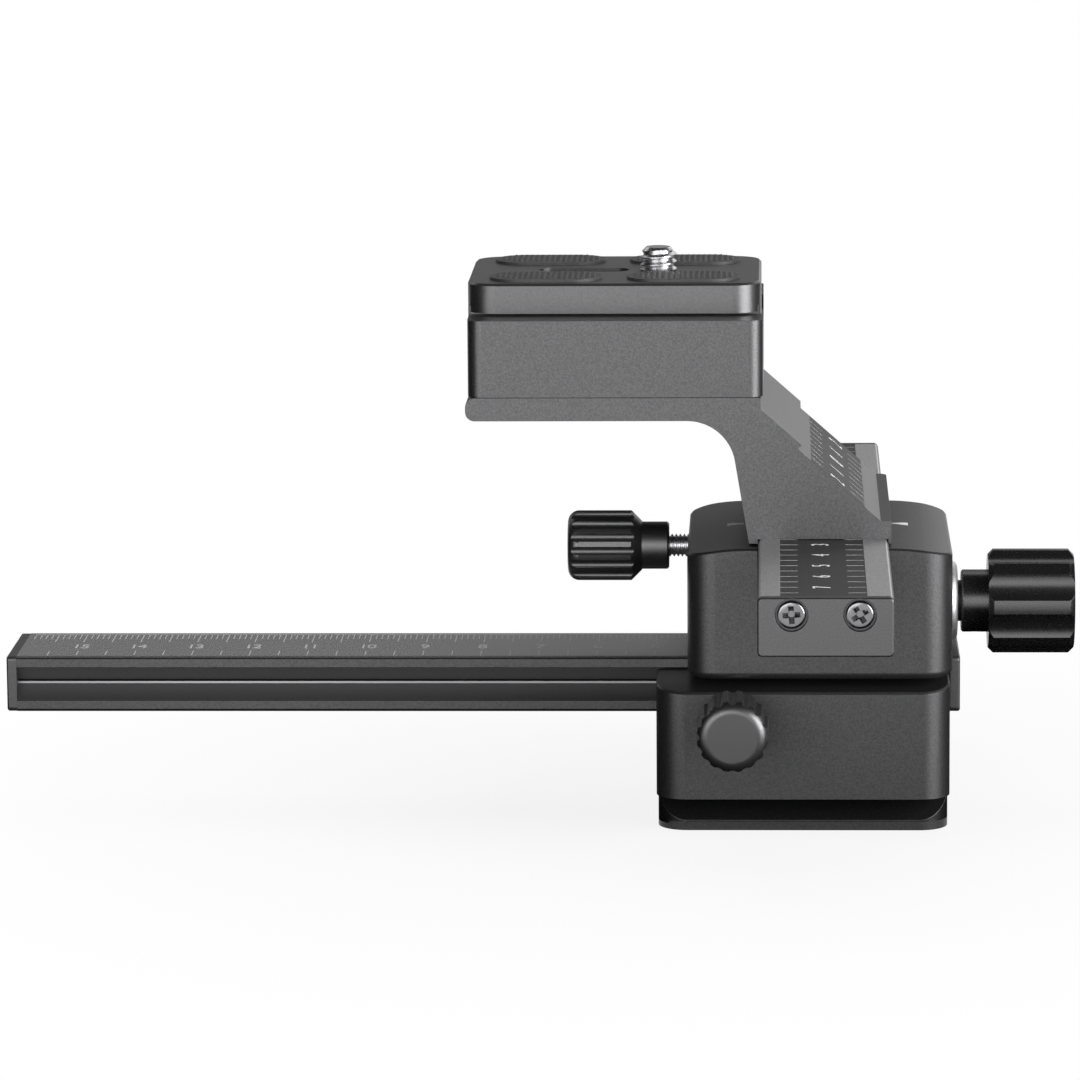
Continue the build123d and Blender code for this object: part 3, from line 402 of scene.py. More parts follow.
rubber = matte_mottle("moulded_black_rubber", "#333334", "#4e4e4f", 0.8, 0.5)
ink = matte_mottle("laser_marked_scale", "#b0b0ae", "#d6d6d4", 0.6, 0.6)
bright_ink = matte_mottle("laser_marked_bright_scale", "#dededc", "#f6f6f4", 0.6, 0.6)

# %% [markdown]
# ## Dressing the CAD pieces
# Each CAD node gets its finish. A Weld modifier joins its loose triangles, a planar Decimate
# makes whole faces of them, a small bevel breaks the sharp edges as the tumbling barrel does, and
# weighted normals keep flat faces flat. Small pieces only get crisp edges.

# %% Finishes for the nodes
finishes = {
    block_black: ["base_block", "upper_block"],
    shaded_foot_black: ["foot_plate"],
    bracket_grey: ["riser_bracket"],
    clamp_grey: ["clamp_body", "clamp_jaw"],
    plate_grey: ["qr_plate"],
    cap_grey: ["front_cap", "rear_cap", "lower_left_cap", "lower_right_cap"],
    lower_rail_finish: ["lower_rail"],
    upper_rail_finish: ["upper_rail"],
    knob_black: ["base_drive_knob", "upper_drive_knob", "clamp_knob"],
    lock_knob_black: ["base_lock_knob", "upper_lock_knob"],
    acetal_black: ["base_gib", "upper_gib", "base_collar", "upper_collar"],
    oxide_black: ["foot_screws", "block_screws", "riser_screws", "clamp_screws",
                  "base_knob_grub_screw", "upper_knob_grub_screw"],
    bush_steel: ["base_bush", "upper_bush"],
    plated_steel: ["clamp_spindle", "guide_pins", "camera_screw_ring"],
    machined_steel: ["lower_rack", "upper_rack", "base_pinion", "upper_pinion",
                     "base_pinion_shaft", "upper_pinion_shaft"],
    rubber: ["rubber_pads"],
}
edge_break = {
    "base_block": 0.1, "upper_block": 0.1, "foot_plate": 0.15, "riser_bracket": 0.12,
    "clamp_body": 0.08, "clamp_jaw": 0.08, "qr_plate": 0.07, "front_cap": 0.1, "rear_cap": 0.1,
    "lower_left_cap": 0.1, "lower_right_cap": 0.1, "base_drive_knob": 0.12,
    "upper_drive_knob": 0.12, "base_lock_knob": 0.08, "upper_lock_knob": 0.08, "clamp_knob": 0.12,
    "lower_rail": 0.04, "upper_rail": 0.04, "rubber_pads": 0.1,
}
WELD_GAP = 0.002
FLAT_ANGLE, EDGE_ANGLE, CRISP_ANGLE = radians(0.5), radians(28), radians(30)
for finish, names in finishes.items():
    for name in names:
        piece = nodes[name]
        piece.data.materials.clear()
        piece.data.materials.append(finish)
        only(piece)
        bpy.ops.object.shade_smooth()
        weld = piece.modifiers.new("join triangles", "WELD")
        weld.merge_threshold = mm(WELD_GAP)
        if name in edge_break:
            facets = piece.modifiers.new("whole faces", "DECIMATE")
            facets.decimate_type = "DISSOLVE"
            facets.angle_limit = FLAT_ANGLE
            broken = piece.modifiers.new("broken edges", "BEVEL")
            broken.width = mm(edge_break[name])
            broken.segments = 2
            broken.limit_method = "ANGLE"
            broken.angle_limit = EDGE_ANGLE
            broken.face_strength_mode = "FSTR_AFFECTED"
            flat = piece.modifiers.new("flat faces", "WEIGHTED_NORMAL")
            flat.use_face_influence = True
        else:
            split = piece.modifiers.new("crisp edges", "EDGE_SPLIT")
            split.split_angle = CRISP_ANGLE
print("dressed", sum(len(n) for n in finishes.values()), "of", len(nodes), "nodes")

# %% [markdown]
# New pieces need a few hand movements of their own: joining several objects into one, turning
# one to its place for good, applying and repeating, and smoothing it up to its sharp edges. Last
# a piece gets a finish and a body to ride on, and the CAD node it replaces is hidden.

# %% Helpers for new pieces
SHARP_ANGLE = radians(25)


def join(name, pieces):
    only(pieces[0])
    for piece in pieces:
        piece.select_set(True)
    bpy.ops.object.join()
    joined = bpy.context.object
    joined.name = name
    return joined


def settle(piece, at=(0, 0, 0), turn=(0, 0, 0)):
    """Turn and move a piece, and keep that in its mesh."""
    piece.rotation_euler = turn
    piece.location = point(*at)
    return keep_place(piece)


def hand_over(piece, body, material, replaced=None):
    """Give a new piece its finish and its body, and hide the node it stands for."""
    piece.data.materials.clear()
    piece.data.materials.append(material)
    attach(piece, body)
    if replaced:
        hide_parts(replaced)
    print(piece.name, "on", body, len(piece.data.polygons), "faces")
    return piece


def apply_modifier(piece, modifier):
    only(piece)
    bpy.ops.object.modifier_apply(modifier=modifier.name)


def repeat_along(piece, step, count):
    """Repeat a piece at a constant step (mm, as x, y, z)."""
    repeat = piece.modifiers.new("repeat", "ARRAY")
    repeat.use_relative_offset = False
    repeat.use_constant_offset = True
    repeat.constant_offset_displace = point(*step)
    repeat.count = count
    apply_modifier(piece, repeat)
    return piece


def smooth_to_edges(piece):
    only(piece)
    bpy.ops.object.shade_smooth_by_angle(angle=SHARP_ANGLE)


print("new pieces stay crisp at edges over", round(SHARP_ANGLE * 180 / pi), "degrees")

# %% [markdown]
# ## Screw threads
# A thread is one small profile, swept round and up. We draw one pitch of the profile with four
# extrusions of a point (flank, crest, flank, root, with the flanks at 60 degrees), let the Screw
# modifier repeat it turn after turn, turn the ends to a cone, and cut both square with a filled
# bisect. The first turn starts more than a pitch below the cut, so the result is one closed body.

# %% Threaded rod
THREAD_STEPS = 32
THREAD_WELD, CUT_EXACT = 0.005, 0.0001
# As shares of the pitch: the depth, the steps up the thread, and the start below the cut.
THREAD_DEPTH, FLANK, CREST, ROOT, LEAD_IN = 0.5, 0.29, 0.17, 0.25, 1.3


def threaded_rod(name, radius, pitch, start, end, start_bevel=0.0, end_bevel=0.0):
    """Right-handed thread along Z between two heights, with a turned cone at either end."""
    depth = THREAD_DEPTH * pitch
    turns = ceil((end - start) / pitch) + 3
    deselect()
    bpy.ops.mesh.primitive_plane_add(size=mm(0.1),
                                     location=point(radius - depth, 0, start - LEAD_IN * pitch))
    rod = keep_place(bpy.context.object, name)
    bpy.ops.object.mode_set(mode="EDIT")
    bpy.ops.mesh.merge(type="CENTER")
    for out, along in ((depth, FLANK), (0, CREST), (-depth, FLANK), (0, ROOT)):
        bpy.ops.mesh.extrude_vertices_move(
            TRANSFORM_OT_translate={"value": (mm(out), 0, mm(along * pitch))}
        )
    bpy.ops.object.mode_set(mode="OBJECT")
    helix = rod.modifiers.new("helix", "SCREW")
    helix.axis = "Z"
    helix.angle = 2 * pi
    helix.screw_offset = mm(pitch)
    helix.iterations = turns
    helix.steps = THREAD_STEPS
    helix.render_steps = THREAD_STEPS
    apply_modifier(rod, helix)
    for vertex in rod.data.vertices:
        height = vertex.co.z * 1000
        cone = max(start_bevel - (height - start), end_bevel - (end - height), 0)
        allowed = mm(max(radius - cone, radius / 4))
        if vertex.co.xy.length > allowed:
            vertex.co.xy = vertex.co.xy.normalized() * allowed
    bpy.ops.object.mode_set(mode="EDIT")
    bpy.ops.mesh.select_all(action="SELECT")
    bpy.ops.mesh.remove_doubles(threshold=mm(THREAD_WELD))
    for height, below, over in ((start, True, False), (end, False, True)):
        bpy.ops.mesh.select_all(action="SELECT")
        bpy.ops.mesh.bisect(plane_co=point(0, 0, height), plane_no=(0, 0, 1), use_fill=True,
                            clear_inner=below, clear_outer=over, threshold=mm(CUT_EXACT))
    bpy.ops.mesh.select_all(action="SELECT")
    bpy.ops.mesh.normals_make_consistent(inside=False)
    bpy.ops.object.mode_set(mode="OBJECT")
    smooth_to_edges(rod)
    return rod


def pick_faces(piece, chosen):
    """Select in edit mode the faces for which chosen(centre, normal) holds, in millimetres."""
    only(piece)
    bpy.ops.object.mode_set(mode="EDIT")
    bpy.ops.mesh.select_all(action="DESELECT")
    bpy.ops.object.mode_set(mode="OBJECT")
    for face in piece.data.polygons:
        face.select = chosen(face.center * 1000, face.normal)
    bpy.ops.object.mode_set(mode="EDIT")


print("thread steps in a turn:", THREAD_STEPS)

# %% [markdown]
# The two lock studs are M4 x 0.7. Each runs from the gib, which its slim dog point presses, to
# deep inside its knob, and a few millimetres of thread show between block and knob. The cone
# ends in a round face as wide as the dog point, which is extruded.

# %% Lock studs
STUD_RADIUS, STUD_PITCH = 1.96, 0.7
DOG_RADIUS, DOG_LENGTH = 1.2, 0.5


def lock_stud(name, node, turn, at, length, body):
    """A stud along Z from its dog point up, turned and moved to its node's place."""
    stud = threaded_rod(name, STUD_RADIUS, STUD_PITCH, DOG_LENGTH, length,
                        start_bevel=STUD_RADIUS - DOG_RADIUS)
    pick_faces(stud, lambda centre, normal: normal.z < -0.9 and centre.z < DOG_LENGTH + 0.1)
    bpy.ops.mesh.extrude_region_move(TRANSFORM_OT_translate={"value": (0, 0, -mm(DOG_LENGTH))})
    bpy.ops.object.mode_set(mode="OBJECT")
    settle(stud, at, turn)
    return hand_over(stud, body, plated_steel, node)


low, high = place_of("upper_lock_screw")
lock_stud("upper_lock_stud", "upper_lock_screw", (0, radians(-90), 0),
          (high.x, (low.y + high.y) / 2, (low.z + high.z) / 2), high.x - low.x, "upper_lock")
low, high = place_of("base_lock_screw")
lock_stud("base_lock_stud", "base_lock_screw", (radians(90), 0, 0),
          ((low.x + high.x) / 2, high.y, (low.z + high.z) / 2), high.y - low.y, "base_lock")

# %% [markdown]
# The camera screw has the coarse quarter-inch thread, 20 turns to the inch. Its end is turned to
# a cone so that it finds the socket. The head, neck and coin slot below come from the CAD piece:
# a copy of it is welded and cut off where the thread starts.

# %% Camera screw
PAD_RISE, BARE_NECK = 0.5, 0.1  # how far the pads and the smooth neck stand above the plate
PLATE_TOP = place_of("rubber_pads")[1].z - PAD_RISE
CAMERA_RADIUS, CAMERA_PITCH, CAMERA_BEVEL = 3.175, 1.27, 1.1
low, high = place_of("camera_screw")
camera_x, camera_y = (low.x + high.x) / 2, (low.y + high.y) / 2
thread_start = PLATE_TOP + BARE_NECK

thread = threaded_rod("camera_thread", CAMERA_RADIUS, CAMERA_PITCH, thread_start, high.z,
                      end_bevel=CAMERA_BEVEL)
settle(thread, (camera_x, camera_y, 0))

only(nodes["camera_screw"])
bpy.ops.object.duplicate()
shank = bpy.context.object
bpy.ops.object.mode_set(mode="EDIT")
bpy.ops.mesh.select_all(action="SELECT")
bpy.ops.mesh.remove_doubles(threshold=mm(WELD_GAP))
bpy.ops.mesh.bisect(plane_co=point(0, 0, thread_start), plane_no=(0, 0, 1), use_fill=True,
                    clear_outer=True, threshold=mm(CUT_EXACT))
bpy.ops.object.mode_set(mode="OBJECT")
camera_thread = join("camera_screw_threaded", [shank, thread])
smooth_to_edges(camera_thread)
hand_over(camera_thread, "captive_screw", plated_steel, "camera_screw")

# %% [markdown]
# ## Cap screws
# Each end cap is held by two pan head screws with a cross recess. One screw is turned on a lathe
# (a cylinder, with its rim bevelled round and its shank inset and extruded from the back), and a
# punch makes the cross: two bars that narrow downwards, taken away with booleans. The other
# seven are copies, each stopped at a different angle, as screws are.

# %% One cross-recessed screw
HEAD_RADIUS, HEAD_HEIGHT, SHANK_RADIUS, SCREW_LENGTH = 2.3, 1.0, 1.2, 7.0
HEAD_ROUNDING = 0.45
ARM_LENGTH, ARM_WIDTH, ARM_DEPTH = 3.5, 1.0, 1.2
PUNCH_ABOVE, PUNCH_TAPER = 0.4, (0.3, 0.55, 1)

deselect()
bpy.ops.mesh.primitive_cylinder_add(vertices=48, radius=mm(HEAD_RADIUS), depth=mm(HEAD_HEIGHT),
                                    location=point(0, 0, -HEAD_HEIGHT / 2))
pan_screw = keep_place(bpy.context.object)
pick_faces(pan_screw, lambda centre, normal: normal.z < -0.9)
bpy.ops.mesh.inset(thickness=mm(HEAD_RADIUS - SHANK_RADIUS))
bpy.ops.mesh.extrude_region_move(
    TRANSFORM_OT_translate={"value": (0, 0, -mm(SCREW_LENGTH - HEAD_HEIGHT))})
pick_faces(pan_screw, lambda centre, normal: normal.z > 0.9 and centre.z > -0.1)
bpy.ops.mesh.bevel(offset=mm(HEAD_ROUNDING), segments=4, affect="EDGES")
bpy.ops.object.mode_set(mode="OBJECT")
for quarter in (0, 90):
    deselect()
    bpy.ops.mesh.primitive_cube_add(size=1, location=point(0, 0, (PUNCH_ABOVE - ARM_DEPTH) / 2),
                                    scale=point(ARM_LENGTH, ARM_WIDTH, ARM_DEPTH + PUNCH_ABOVE))
    bar = keep_place(bpy.context.object)
    pick_faces(bar, lambda centre, normal: normal.z < -0.9)
    bpy.ops.transform.resize(value=PUNCH_TAPER)
    bpy.ops.object.mode_set(mode="OBJECT")
    settle(bar, turn=(0, 0, radians(quarter)))
    punch = pan_screw.modifiers.new("cross", "BOOLEAN")
    punch.operation = "DIFFERENCE"
    punch.solver = "EXACT"
    punch.object = bar
    apply_modifier(pan_screw, punch)
    bpy.data.objects.remove(bar)
smooth_to_edges(pan_screw)
print("cross screw faces", len(pan_screw.data.polygons))

# %% [markdown]
# The rails' screws sit in pairs, one on either side of the cap's middle. The upper caps face the
# viewer and away, the lower caps left and right, so each pair is turned to face outwards.

# %% Eight screws
SCREW_SIDE = 5.5


def copy_screw(at, turn, spin):
    """A copy of the screw, spun about its own axis and then turned to face outwards."""
    only(pan_screw)
    bpy.ops.object.duplicate()
    screw = bpy.context.object
    settle(screw, turn=(0, 0, radians(spin)))
    return settle(screw, at, turn)


low, high = place_of("upper_cap_screws")
middle_x, head_z = (low.x + high.x) / 2, (low.z + high.z) / 2
front, back = (radians(90), 0, 0), (radians(-90), 0, 0)
upper_screws = join("upper_cap_cross_screws", [
    copy_screw((middle_x + side * SCREW_SIDE, y, head_z), turn, spin)
    for side, y, turn, spin in ((-1, low.y, front, 4), (1, low.y, front, 32),
                                (-1, high.y, back, 17), (1, high.y, back, 71))
])
hand_over(upper_screws, "upper_slide", nickel_steel, "upper_cap_screws")

low, high = place_of("lower_cap_screws")
middle_y, head_z = (low.y + high.y) / 2, (low.z + high.z) / 2
left_end, right_end = (0, radians(-90), 0), (0, radians(90), 0)
lower_screws = join("lower_cap_cross_screws", [
    copy_screw((x, middle_y + side * SCREW_SIDE, head_z), turn, spin)
    for side, x, turn, spin in ((-1, low.x, left_end, 25), (1, low.x, left_end, 60),
                                (-1, high.x, right_end, 10), (1, high.x, right_end, 48))
])
hand_over(lower_screws, "lower_slide", nickel_steel, "lower_cap_screws")
bpy.data.objects.remove(pan_screw)

# %% [markdown]
# ## Embossed pads
# The rubber pads carry a field of small pyramids that bite into a camera's underside, inside a
# plain rim. One pyramid is a four-sided cone, two Array modifiers spread it over a pad, and the
# ones that fall outside the pad's rounded shape are deleted. The pad is then copied four times.

# %% Pad emboss
STUD_STEP, STUD_RISE, STUD_SUNK, RIM = 0.95, 0.24, 0.02, 0.8
STUD_BASE, STUD_TIP = STUD_STEP * 0.66, 0.1
PAD_LENGTH, PAD_WIDTH = 19.3, 11.0
columns, rows_of_studs = int(PAD_LENGTH / STUD_STEP), int(PAD_WIDTH / STUD_STEP)
first_x, first_y = -(columns - 1) * STUD_STEP / 2, -(rows_of_studs - 1) * STUD_STEP / 2

deselect()
bpy.ops.mesh.primitive_cone_add(vertices=4, radius1=mm(STUD_BASE), radius2=mm(STUD_TIP),
                                depth=mm(STUD_RISE), location=point(first_x, first_y, 0),
                                rotation=(0, 0, radians(45)))
emboss = keep_place(bpy.context.object)
repeat_along(emboss, (STUD_STEP, 0, 0), columns)
repeat_along(emboss, (0, STUD_STEP, 0), rows_of_studs)


def outside_pad(centre, _normal):
    """Does the pyramid that holds this face stand on or beyond the pad's plain rim?"""
    x = first_x + round((centre.x - first_x) / STUD_STEP) * STUD_STEP
    y = first_y + round((centre.y - first_y) / STUD_STEP) * STUD_STEP
    beyond = max(abs(x) - (PAD_LENGTH - PAD_WIDTH) / 2, 0)
    return (beyond ** 2 + y ** 2) ** 0.5 > PAD_WIDTH / 2 - RIM


pick_faces(emboss, outside_pad)
bpy.ops.mesh.delete(type="FACE")
bpy.ops.object.mode_set(mode="OBJECT")
low, high = place_of("rubber_pads")
fields = []
for x in (low.x + PAD_LENGTH / 2, high.x - PAD_LENGTH / 2):
    for y in (low.y + PAD_WIDTH / 2, high.y - PAD_WIDTH / 2):
        only(emboss)
        bpy.ops.object.duplicate()
        fields.append(settle(bpy.context.object, (x, y, high.z + STUD_RISE / 2 - STUD_SUNK)))
bpy.data.objects.remove(emboss)
pad_emboss = join("pad_emboss", fields)
hand_over(pad_emboss, "camera_plate", rubber)

# %% [markdown]
# ## Printed scales
# The scales are light marks a few hundredths of a millimetre thick. One tick is modelled and
# repeated with an Array modifier, and each number is a text turned into a mesh. The engraver's
# numbers are narrow, so the text is squeezed and its figures stand closer.

# %% Ticks and numbers
INK, SUNK = 0.03, 0.005
TICK, THIN_TICK = 0.16, 0.13
TEXT_SIZE = 1.38  # of a figure's height
FIGURE_SPACE = 0.85


def tick_row(name, start, size, step, count):
    """A row of ticks: one thin block, repeated count times by step (mm, as x, y, z)."""
    deselect()
    bpy.ops.mesh.primitive_cube_add(size=1, location=point(*start), scale=point(*size))
    return repeat_along(keep_place(bpy.context.object, name), step, count)


def printed_number(text, height, at, turn=0.0, squeeze=0.75):
    """A number lying flat, its middle at a point, turned about Z."""
    deselect()
    bpy.ops.object.text_add(location=(0, 0, 0))
    number = bpy.context.object
    number.data.body = text
    number.data.size = mm(height * TEXT_SIZE)
    number.data.space_character = FIGURE_SPACE
    number.data.align_x = "CENTER"
    number.data.align_y = "CENTER"
    number.data.extrude = mm(INK / 2)
    bpy.ops.object.convert(target="MESH")
    number = bpy.context.object
    number.scale = (squeeze, 1, 1)
    return settle(keep_place(number), at, (0, 0, turn))


print("ink", INK, "mm thick, ticks", TICK, "and", THIN_TICK, "mm wide")

# %% [markdown]
# The lower rail is numbered from its right end: zero is under the upper block, and the numbers
# grow to the left up to 15. A row of millimetre ticks hangs from a line along the back, with
# every fifth one longer, and a row of five millimetre ticks runs along the front.

# %% Lower rail scale
ZERO_X, LAST_TICK = 24.55, 159
LINE_Y, LINE_WIDTH, LINE_PAST_TICKS = 9.05, 0.14, 0.2
NUMBER_Y, NUMBER_HEIGHT = -2.0, 3.4
top = LOWER_TOP + INK / 2 - SUNK
rows = [tick_row("line", (ZERO_X - LAST_TICK / 2, LINE_Y, top),
                 (LAST_TICK + LINE_PAST_TICKS, LINE_WIDTH, INK), (0, 0, 0), 1)]
for name, row_y, length, step in (("mm", 7.05, 3.9, 1), ("half", 3.7, 2.8, 5),
                                  ("front", -7.85, 3.7, 5)):
    rows.append(tick_row(name, (ZERO_X, row_y, top), (TICK, length, INK), (-step, 0, 0),
                         LAST_TICK // step + 1))
for centimetre in range(1, 16):
    rows.append(printed_number(str(centimetre), NUMBER_HEIGHT,
                               (ZERO_X - 10 * centimetre, NUMBER_Y, top)))
lower_scale = join("lower_rail_scale", rows)
hand_over(lower_scale, "lower_slide", ink)

# %% [markdown]
# The upper rail's scale reads from the right-hand side: the numbers are turned a quarter, with
# zero at the rail's middle under the riser, and grow to both ends. Both edges of the strip have
# ticks each five millimetres. The strip lies a tenth of a millimetre below the blasted edges.

# %% Upper rail scale
STRIP_DEPTH, RAIL_MIDDLE_Y = 0.1, 3.0
ROW_STEP, ROWS = 5, 31
UPPER_TICK, UPPER_NUMBER_X, UPPER_NUMBER_HEIGHT = 2.9, 3.0, 3.1
SIDEWAYS = (radians(90), 0.9)  # the turn and the squeeze of a number that reads from the right
top = UPPER_TOP - STRIP_DEPTH + INK / 2 - SUNK
first_row = RAIL_MIDDLE_Y - ROW_STEP * (ROWS - 1) / 2
upper_ticks = join("upper_rail_ticks", [
    tick_row(name, (row_x, first_row, top), (UPPER_TICK, THIN_TICK, INK), (0, ROW_STEP, 0), ROWS)
    for name, row_x in (("left", -2.45), ("right", 8.55))
])
hand_over(upper_ticks, "upper_slide", ink)
upper_numbers = join("upper_rail_numbers", [
    printed_number(str(abs(centimetre)), UPPER_NUMBER_HEIGHT,
                   (UPPER_NUMBER_X, RAIL_MIDDLE_Y + 10 * centimetre, top), *SIDEWAYS)
    for centimetre in range(-7, 8)
])
hand_over(upper_numbers, "upper_slide", bright_ink)

# %% [markdown]
# The riser's slope has the same kind of scale: five numbers from 2 through 0 to 2, and a row of
# ticks above and below them. It is laid out flat and then tipped onto the slope in one turn.

# %% Riser scale
RISER_ROWS, RISER_MIDDLE_Y = 9, 2.0
RISER_NUMBER_DOWN, RISER_NUMBER_HEIGHT = 9.1, 3.3  # down the slope from its top, and the figures
lift = INK / 2 - SUNK
first_row = -ROW_STEP * (RISER_ROWS - 1) / 2
riser_ticks = join("riser_ticks", [
    tick_row(name, (row_x, first_row, lift), (length, THIN_TICK, INK), (0, ROW_STEP, 0),
             RISER_ROWS)
    for name, row_x, length in (("upper", 4.3, 2.8), ("lower", 13.4, 3.2))
])
riser_numbers = join("riser_numbers", [
    printed_number(str(abs(centimetre)), RISER_NUMBER_HEIGHT,
                   (RISER_NUMBER_DOWN, 10 * centimetre, lift), *SIDEWAYS)
    for centimetre in range(-2, 3)
])
for scale, scale_ink in ((riser_ticks, ink), (riser_numbers, bright_ink)):
    settle(scale, (SLOPE_TOP[0], RISER_MIDDLE_Y, SLOPE_TOP[2]), (0, SLOPE_ANGLE, 0))
    hand_over(scale, "upper_slide", scale_ink)

# %% [markdown]
# Two small wedges on the block's top point at the scale. Each is a flat plane narrowed at one
# end, dropped onto the curved shoulder with a Shrinkwrap modifier and thickened a little.

# %% Index wedges
INDEX_Y, ABOVE_BLOCK, INDEX_LIFT = 0.45, 52, 0.01
NARROW_END, WIDENING = 0.5, 2.2
INDEX_ENDS = ((15.4, 18.2), (-10.1, -13.0))  # each wedge's narrow and wide end, in x
wedges = []
for inner, outer in INDEX_ENDS:
    deselect()
    bpy.ops.mesh.primitive_plane_add(size=1,
                                     location=point((inner + outer) / 2, INDEX_Y, ABOVE_BLOCK))
    wedge = bpy.context.object
    wedge.scale = (mm(abs(outer - inner)), mm(1.0), 1)
    keep_place(wedge)
    bpy.ops.object.mode_set(mode="EDIT")
    bpy.ops.mesh.select_all(action="SELECT")
    bpy.ops.mesh.subdivide(number_cuts=6)
    bpy.ops.object.mode_set(mode="OBJECT")
    for vertex in wedge.data.vertices:
        along = (vertex.co.x * 1000 - inner) / (outer - inner)
        width = NARROW_END + WIDENING * along
        vertex.co.y = mm(INDEX_Y) + (vertex.co.y - mm(INDEX_Y)) * width
    drop = wedge.modifiers.new("drop", "SHRINKWRAP")
    drop.target = nodes["upper_block"]
    drop.wrap_method = "PROJECT"
    drop.use_project_z = True
    drop.use_negative_direction = True
    drop.use_positive_direction = False
    drop.offset = mm(INDEX_LIFT)
    apply_modifier(wedge, drop)
    thick = wedge.modifiers.new("thickness", "SOLIDIFY")
    thick.thickness = mm(INK)
    thick.offset = 1
    apply_modifier(wedge, thick)
    wedges.append(wedge)
index_wedges = join("index_wedges", wedges)
hand_over(index_wedges, "lower_slide", bright_ink)

# %% [markdown]
# ## Floor, black cloth and light
# The floor is white. To the camera and in reflections it glows as white as paper, and a share of
# it stays an ordinary matte surface, so that the object keeps its shadow. That share fades out
# a short way off, so that the background is an even white.


# %% Floor
def shown_as_white(material):
    """1 for camera, glossy and transmission rays, 0 for the rays that only light things."""
    path = add(material, "ShaderNodeLightPath")
    direct = add(material, "ShaderNodeMath",
                 {0: path.outputs["Is Camera Ray"], 1: path.outputs["Is Glossy Ray"]},
                 operation="MAXIMUM")
    return add(material, "ShaderNodeMath",
               {0: direct.outputs[0], 1: path.outputs["Is Transmission Ray"]},
               operation="MAXIMUM")


FADE_START, FADE_END, GLOW_UNDER = 50, 170, 0.86
floor_material, output = new_material("pale_studio_floor")
shown = shown_as_white(floor_material)
place = add(floor_material, "ShaderNodeTexCoord")
reach = add(floor_material, "ShaderNodeVectorMath", {0: place.outputs["Object"]},
            operation="LENGTH")
fade = add(floor_material, "ShaderNodeMapRange", {"Value": reach.outputs["Value"]},
           {"From Min": mm(FADE_START), "From Max": mm(FADE_END), "To Min": GLOW_UNDER,
            "To Max": 1.0})
glow = add(floor_material, "ShaderNodeMath", {0: shown.outputs[0], 1: fade.outputs[0]},
           operation="MULTIPLY")
matte = add(floor_material, "ShaderNodeBsdfDiffuse", None, {"Color": linear("#e8e8e8")})
white = add(floor_material, "ShaderNodeEmission", None, {"Color": (1, 1, 1, 1), "Strength": 1.0})
both = add(floor_material, "ShaderNodeMixShader",
           {0: glow.outputs[0], 1: matte.outputs[0], 2: white.outputs[0]})
floor_material = finish_surface(floor_material, output, both)
deselect()
bpy.ops.mesh.primitive_plane_add(size=8, location=point(0, 0, 0))
floor = bpy.context.object
floor.name = "studio_floor"
bpy.ops.object.mode_set(mode="EDIT")
bpy.ops.mesh.subdivide(number_cuts=3)
bpy.ops.object.mode_set(mode="OBJECT")
floor.data.materials.append(floor_material)

# %% [markdown]
# Anodised metal shows what stands around it, and in a dark studio its rounded corners and its
# undersides go dark. Black cloth makes that studio here: a wall and a floor cloth on the left and
# on the right, a ceiling, and a small cloth on the table. It stays open in front, towards the
# lamps, and behind on both sides: the riser's slope mirrors the opening on the right. A grey card
# behind gives the level tops their tone. Only reflections see all this, so the background behind
# the object stays white.

# %% Black cloth and grey card
DRUM_RADIUS, DRUM_HEIGHT = 700, 420
LEFT_WALL, RIGHT_WALL = (52, 135), (77, 148)  # degrees from the front
TABLE_CLOTH, CLOTH_MIDDLE = 150, (45, -25, 1.5)
CEILING, CEILING_MIDDLE, CEILING_GLOW = (1400, 950), (0, -225, 1 + DRUM_HEIGHT), 0.03
CARD, CARD_MIDDLE, CARD_GLOW = (500, 500), (-172, 560, 255), 0.24


def reflections_only(thing, material):
    """A stage piece that only reflections see."""
    thing.data.materials.append(material)
    thing.visible_camera = False
    thing.visible_diffuse = False
    thing.visible_transmission = False
    thing.visible_shadow = False
    print(thing.name, len(thing.data.polygons), "faces")


def plain_card(name, hex_colour, brightness):
    material, output = new_material(name)
    shader = add(material, "ShaderNodeEmission", None,
                 {"Color": linear(hex_colour), "Strength": brightness})
    return finish_surface(material, output, shader)


def open_part(centre, normal):
    """Faces of the drum that don't hang in one of the two walls, by degrees from the front."""
    degrees = Vector((centre.x, centre.y)).angle_signed(Vector((0, -1)), 0) * 180 / pi
    on_left = LEFT_WALL[0] < -degrees < LEFT_WALL[1]
    on_right = RIGHT_WALL[0] < degrees < RIGHT_WALL[1]
    return normal.z > 0.9 or not (on_left or on_right)


cloth_material = plain_card("black_molton_cloth", "#000000", 0.0)
deselect()
bpy.ops.mesh.primitive_cylinder_add(vertices=144, radius=mm(DRUM_RADIUS), depth=mm(DRUM_HEIGHT),
                                    end_fill_type="TRIFAN",
                                    location=point(0, 0, 1 + DRUM_HEIGHT / 2))
walls = keep_place(bpy.context.object, "black_walls")
pick_faces(walls, open_part)
bpy.ops.mesh.delete(type="FACE")
bpy.ops.object.mode_set(mode="OBJECT")
reflections_only(walls, cloth_material)

deselect()
bpy.ops.mesh.primitive_circle_add(vertices=48, radius=mm(TABLE_CLOTH), fill_type="TRIFAN",
                                  location=point(*CLOTH_MIDDLE))
reflections_only(keep_place(bpy.context.object, "table_cloth"), cloth_material)

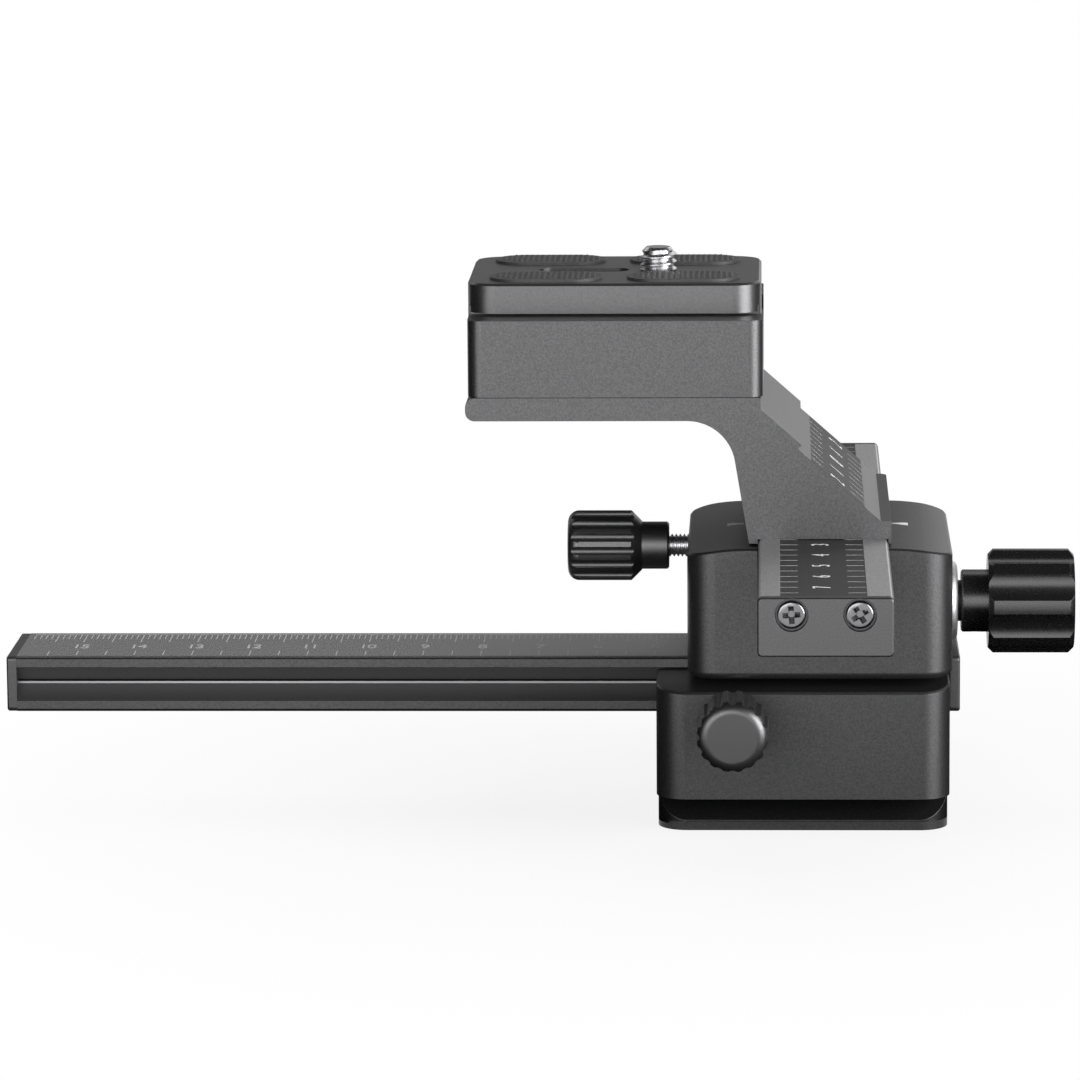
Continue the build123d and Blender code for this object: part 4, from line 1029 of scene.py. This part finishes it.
for name, size, middle, tipped, brightness in (
        ("dark_ceiling", CEILING, CEILING_MIDDLE, 0, CEILING_GLOW),
        ("grey_card", CARD, CARD_MIDDLE, 90, CARD_GLOW)):
    deselect()
    bpy.ops.mesh.primitive_plane_add(size=1, location=point(*middle),
                                     rotation=(radians(tipped), 0, 0))
    panel = bpy.context.object
    panel.scale = (mm(size[0]), mm(size[1]), 1)
    keep_place(panel, name)
    reflections_only(panel, plain_card(name, "#ffffff", brightness))

# %% [markdown]
# The world is white to the camera and in reflections and a soft grey fill otherwise. The lamps
# are softboxes: one in front by the camera, a brighter one to the right that draws the bright
# line down the right-hand corners, and a large one overhead.

# %% World and lamps
world = bpy.data.worlds.new("studio")
bpy.context.scene.world = world
world.use_nodes = True
world.node_tree.nodes.clear()
shown = shown_as_white(world)
fill = add(world, "ShaderNodeBackground", None, {"Color": (1, 1, 1, 1), "Strength": 0.3})
paper = add(world, "ShaderNodeBackground", None, {"Color": (1, 1, 1, 1), "Strength": 1.0})
mix = add(world, "ShaderNodeMixShader",
          {0: shown.outputs[0], 1: fill.outputs[0], 2: paper.outputs[0]})
add(world, "ShaderNodeOutputWorld", {0: mix.outputs[0]})
OBJECT_MIDDLE = point(0, 0, 45)


def softbox(name, place, size, brightness):
    """A lamp that points at the object; brightness 1 is that of white paper."""
    deselect()
    bpy.ops.object.light_add(type="AREA", location=point(*place))
    lamp = bpy.context.object
    lamp.name = name
    lamp.data.shape = "RECTANGLE"
    lamp.data.size, lamp.data.size_y = mm(size[0]), mm(size[1])
    lamp.data.energy = brightness * pi * mm(size[0]) * mm(size[1])
    direction = OBJECT_MIDDLE - point(*place)
    lamp.rotation_euler = direction.to_track_quat("-Z", "Y").to_euler()
    lamp.visible_camera = False
    print("lamp", name, round(lamp.data.energy, 2), "W")
    return lamp


softbox("front_softbox", (-480, -1250, 300), (1100, 600), 2.4)
softbox("right_softbox", (520, -370, 210), (500, 400), 9.0)
overhead = softbox("overhead_softbox", (0, 250, 950), (900, 700), 1.5)
overhead.visible_glossy = False
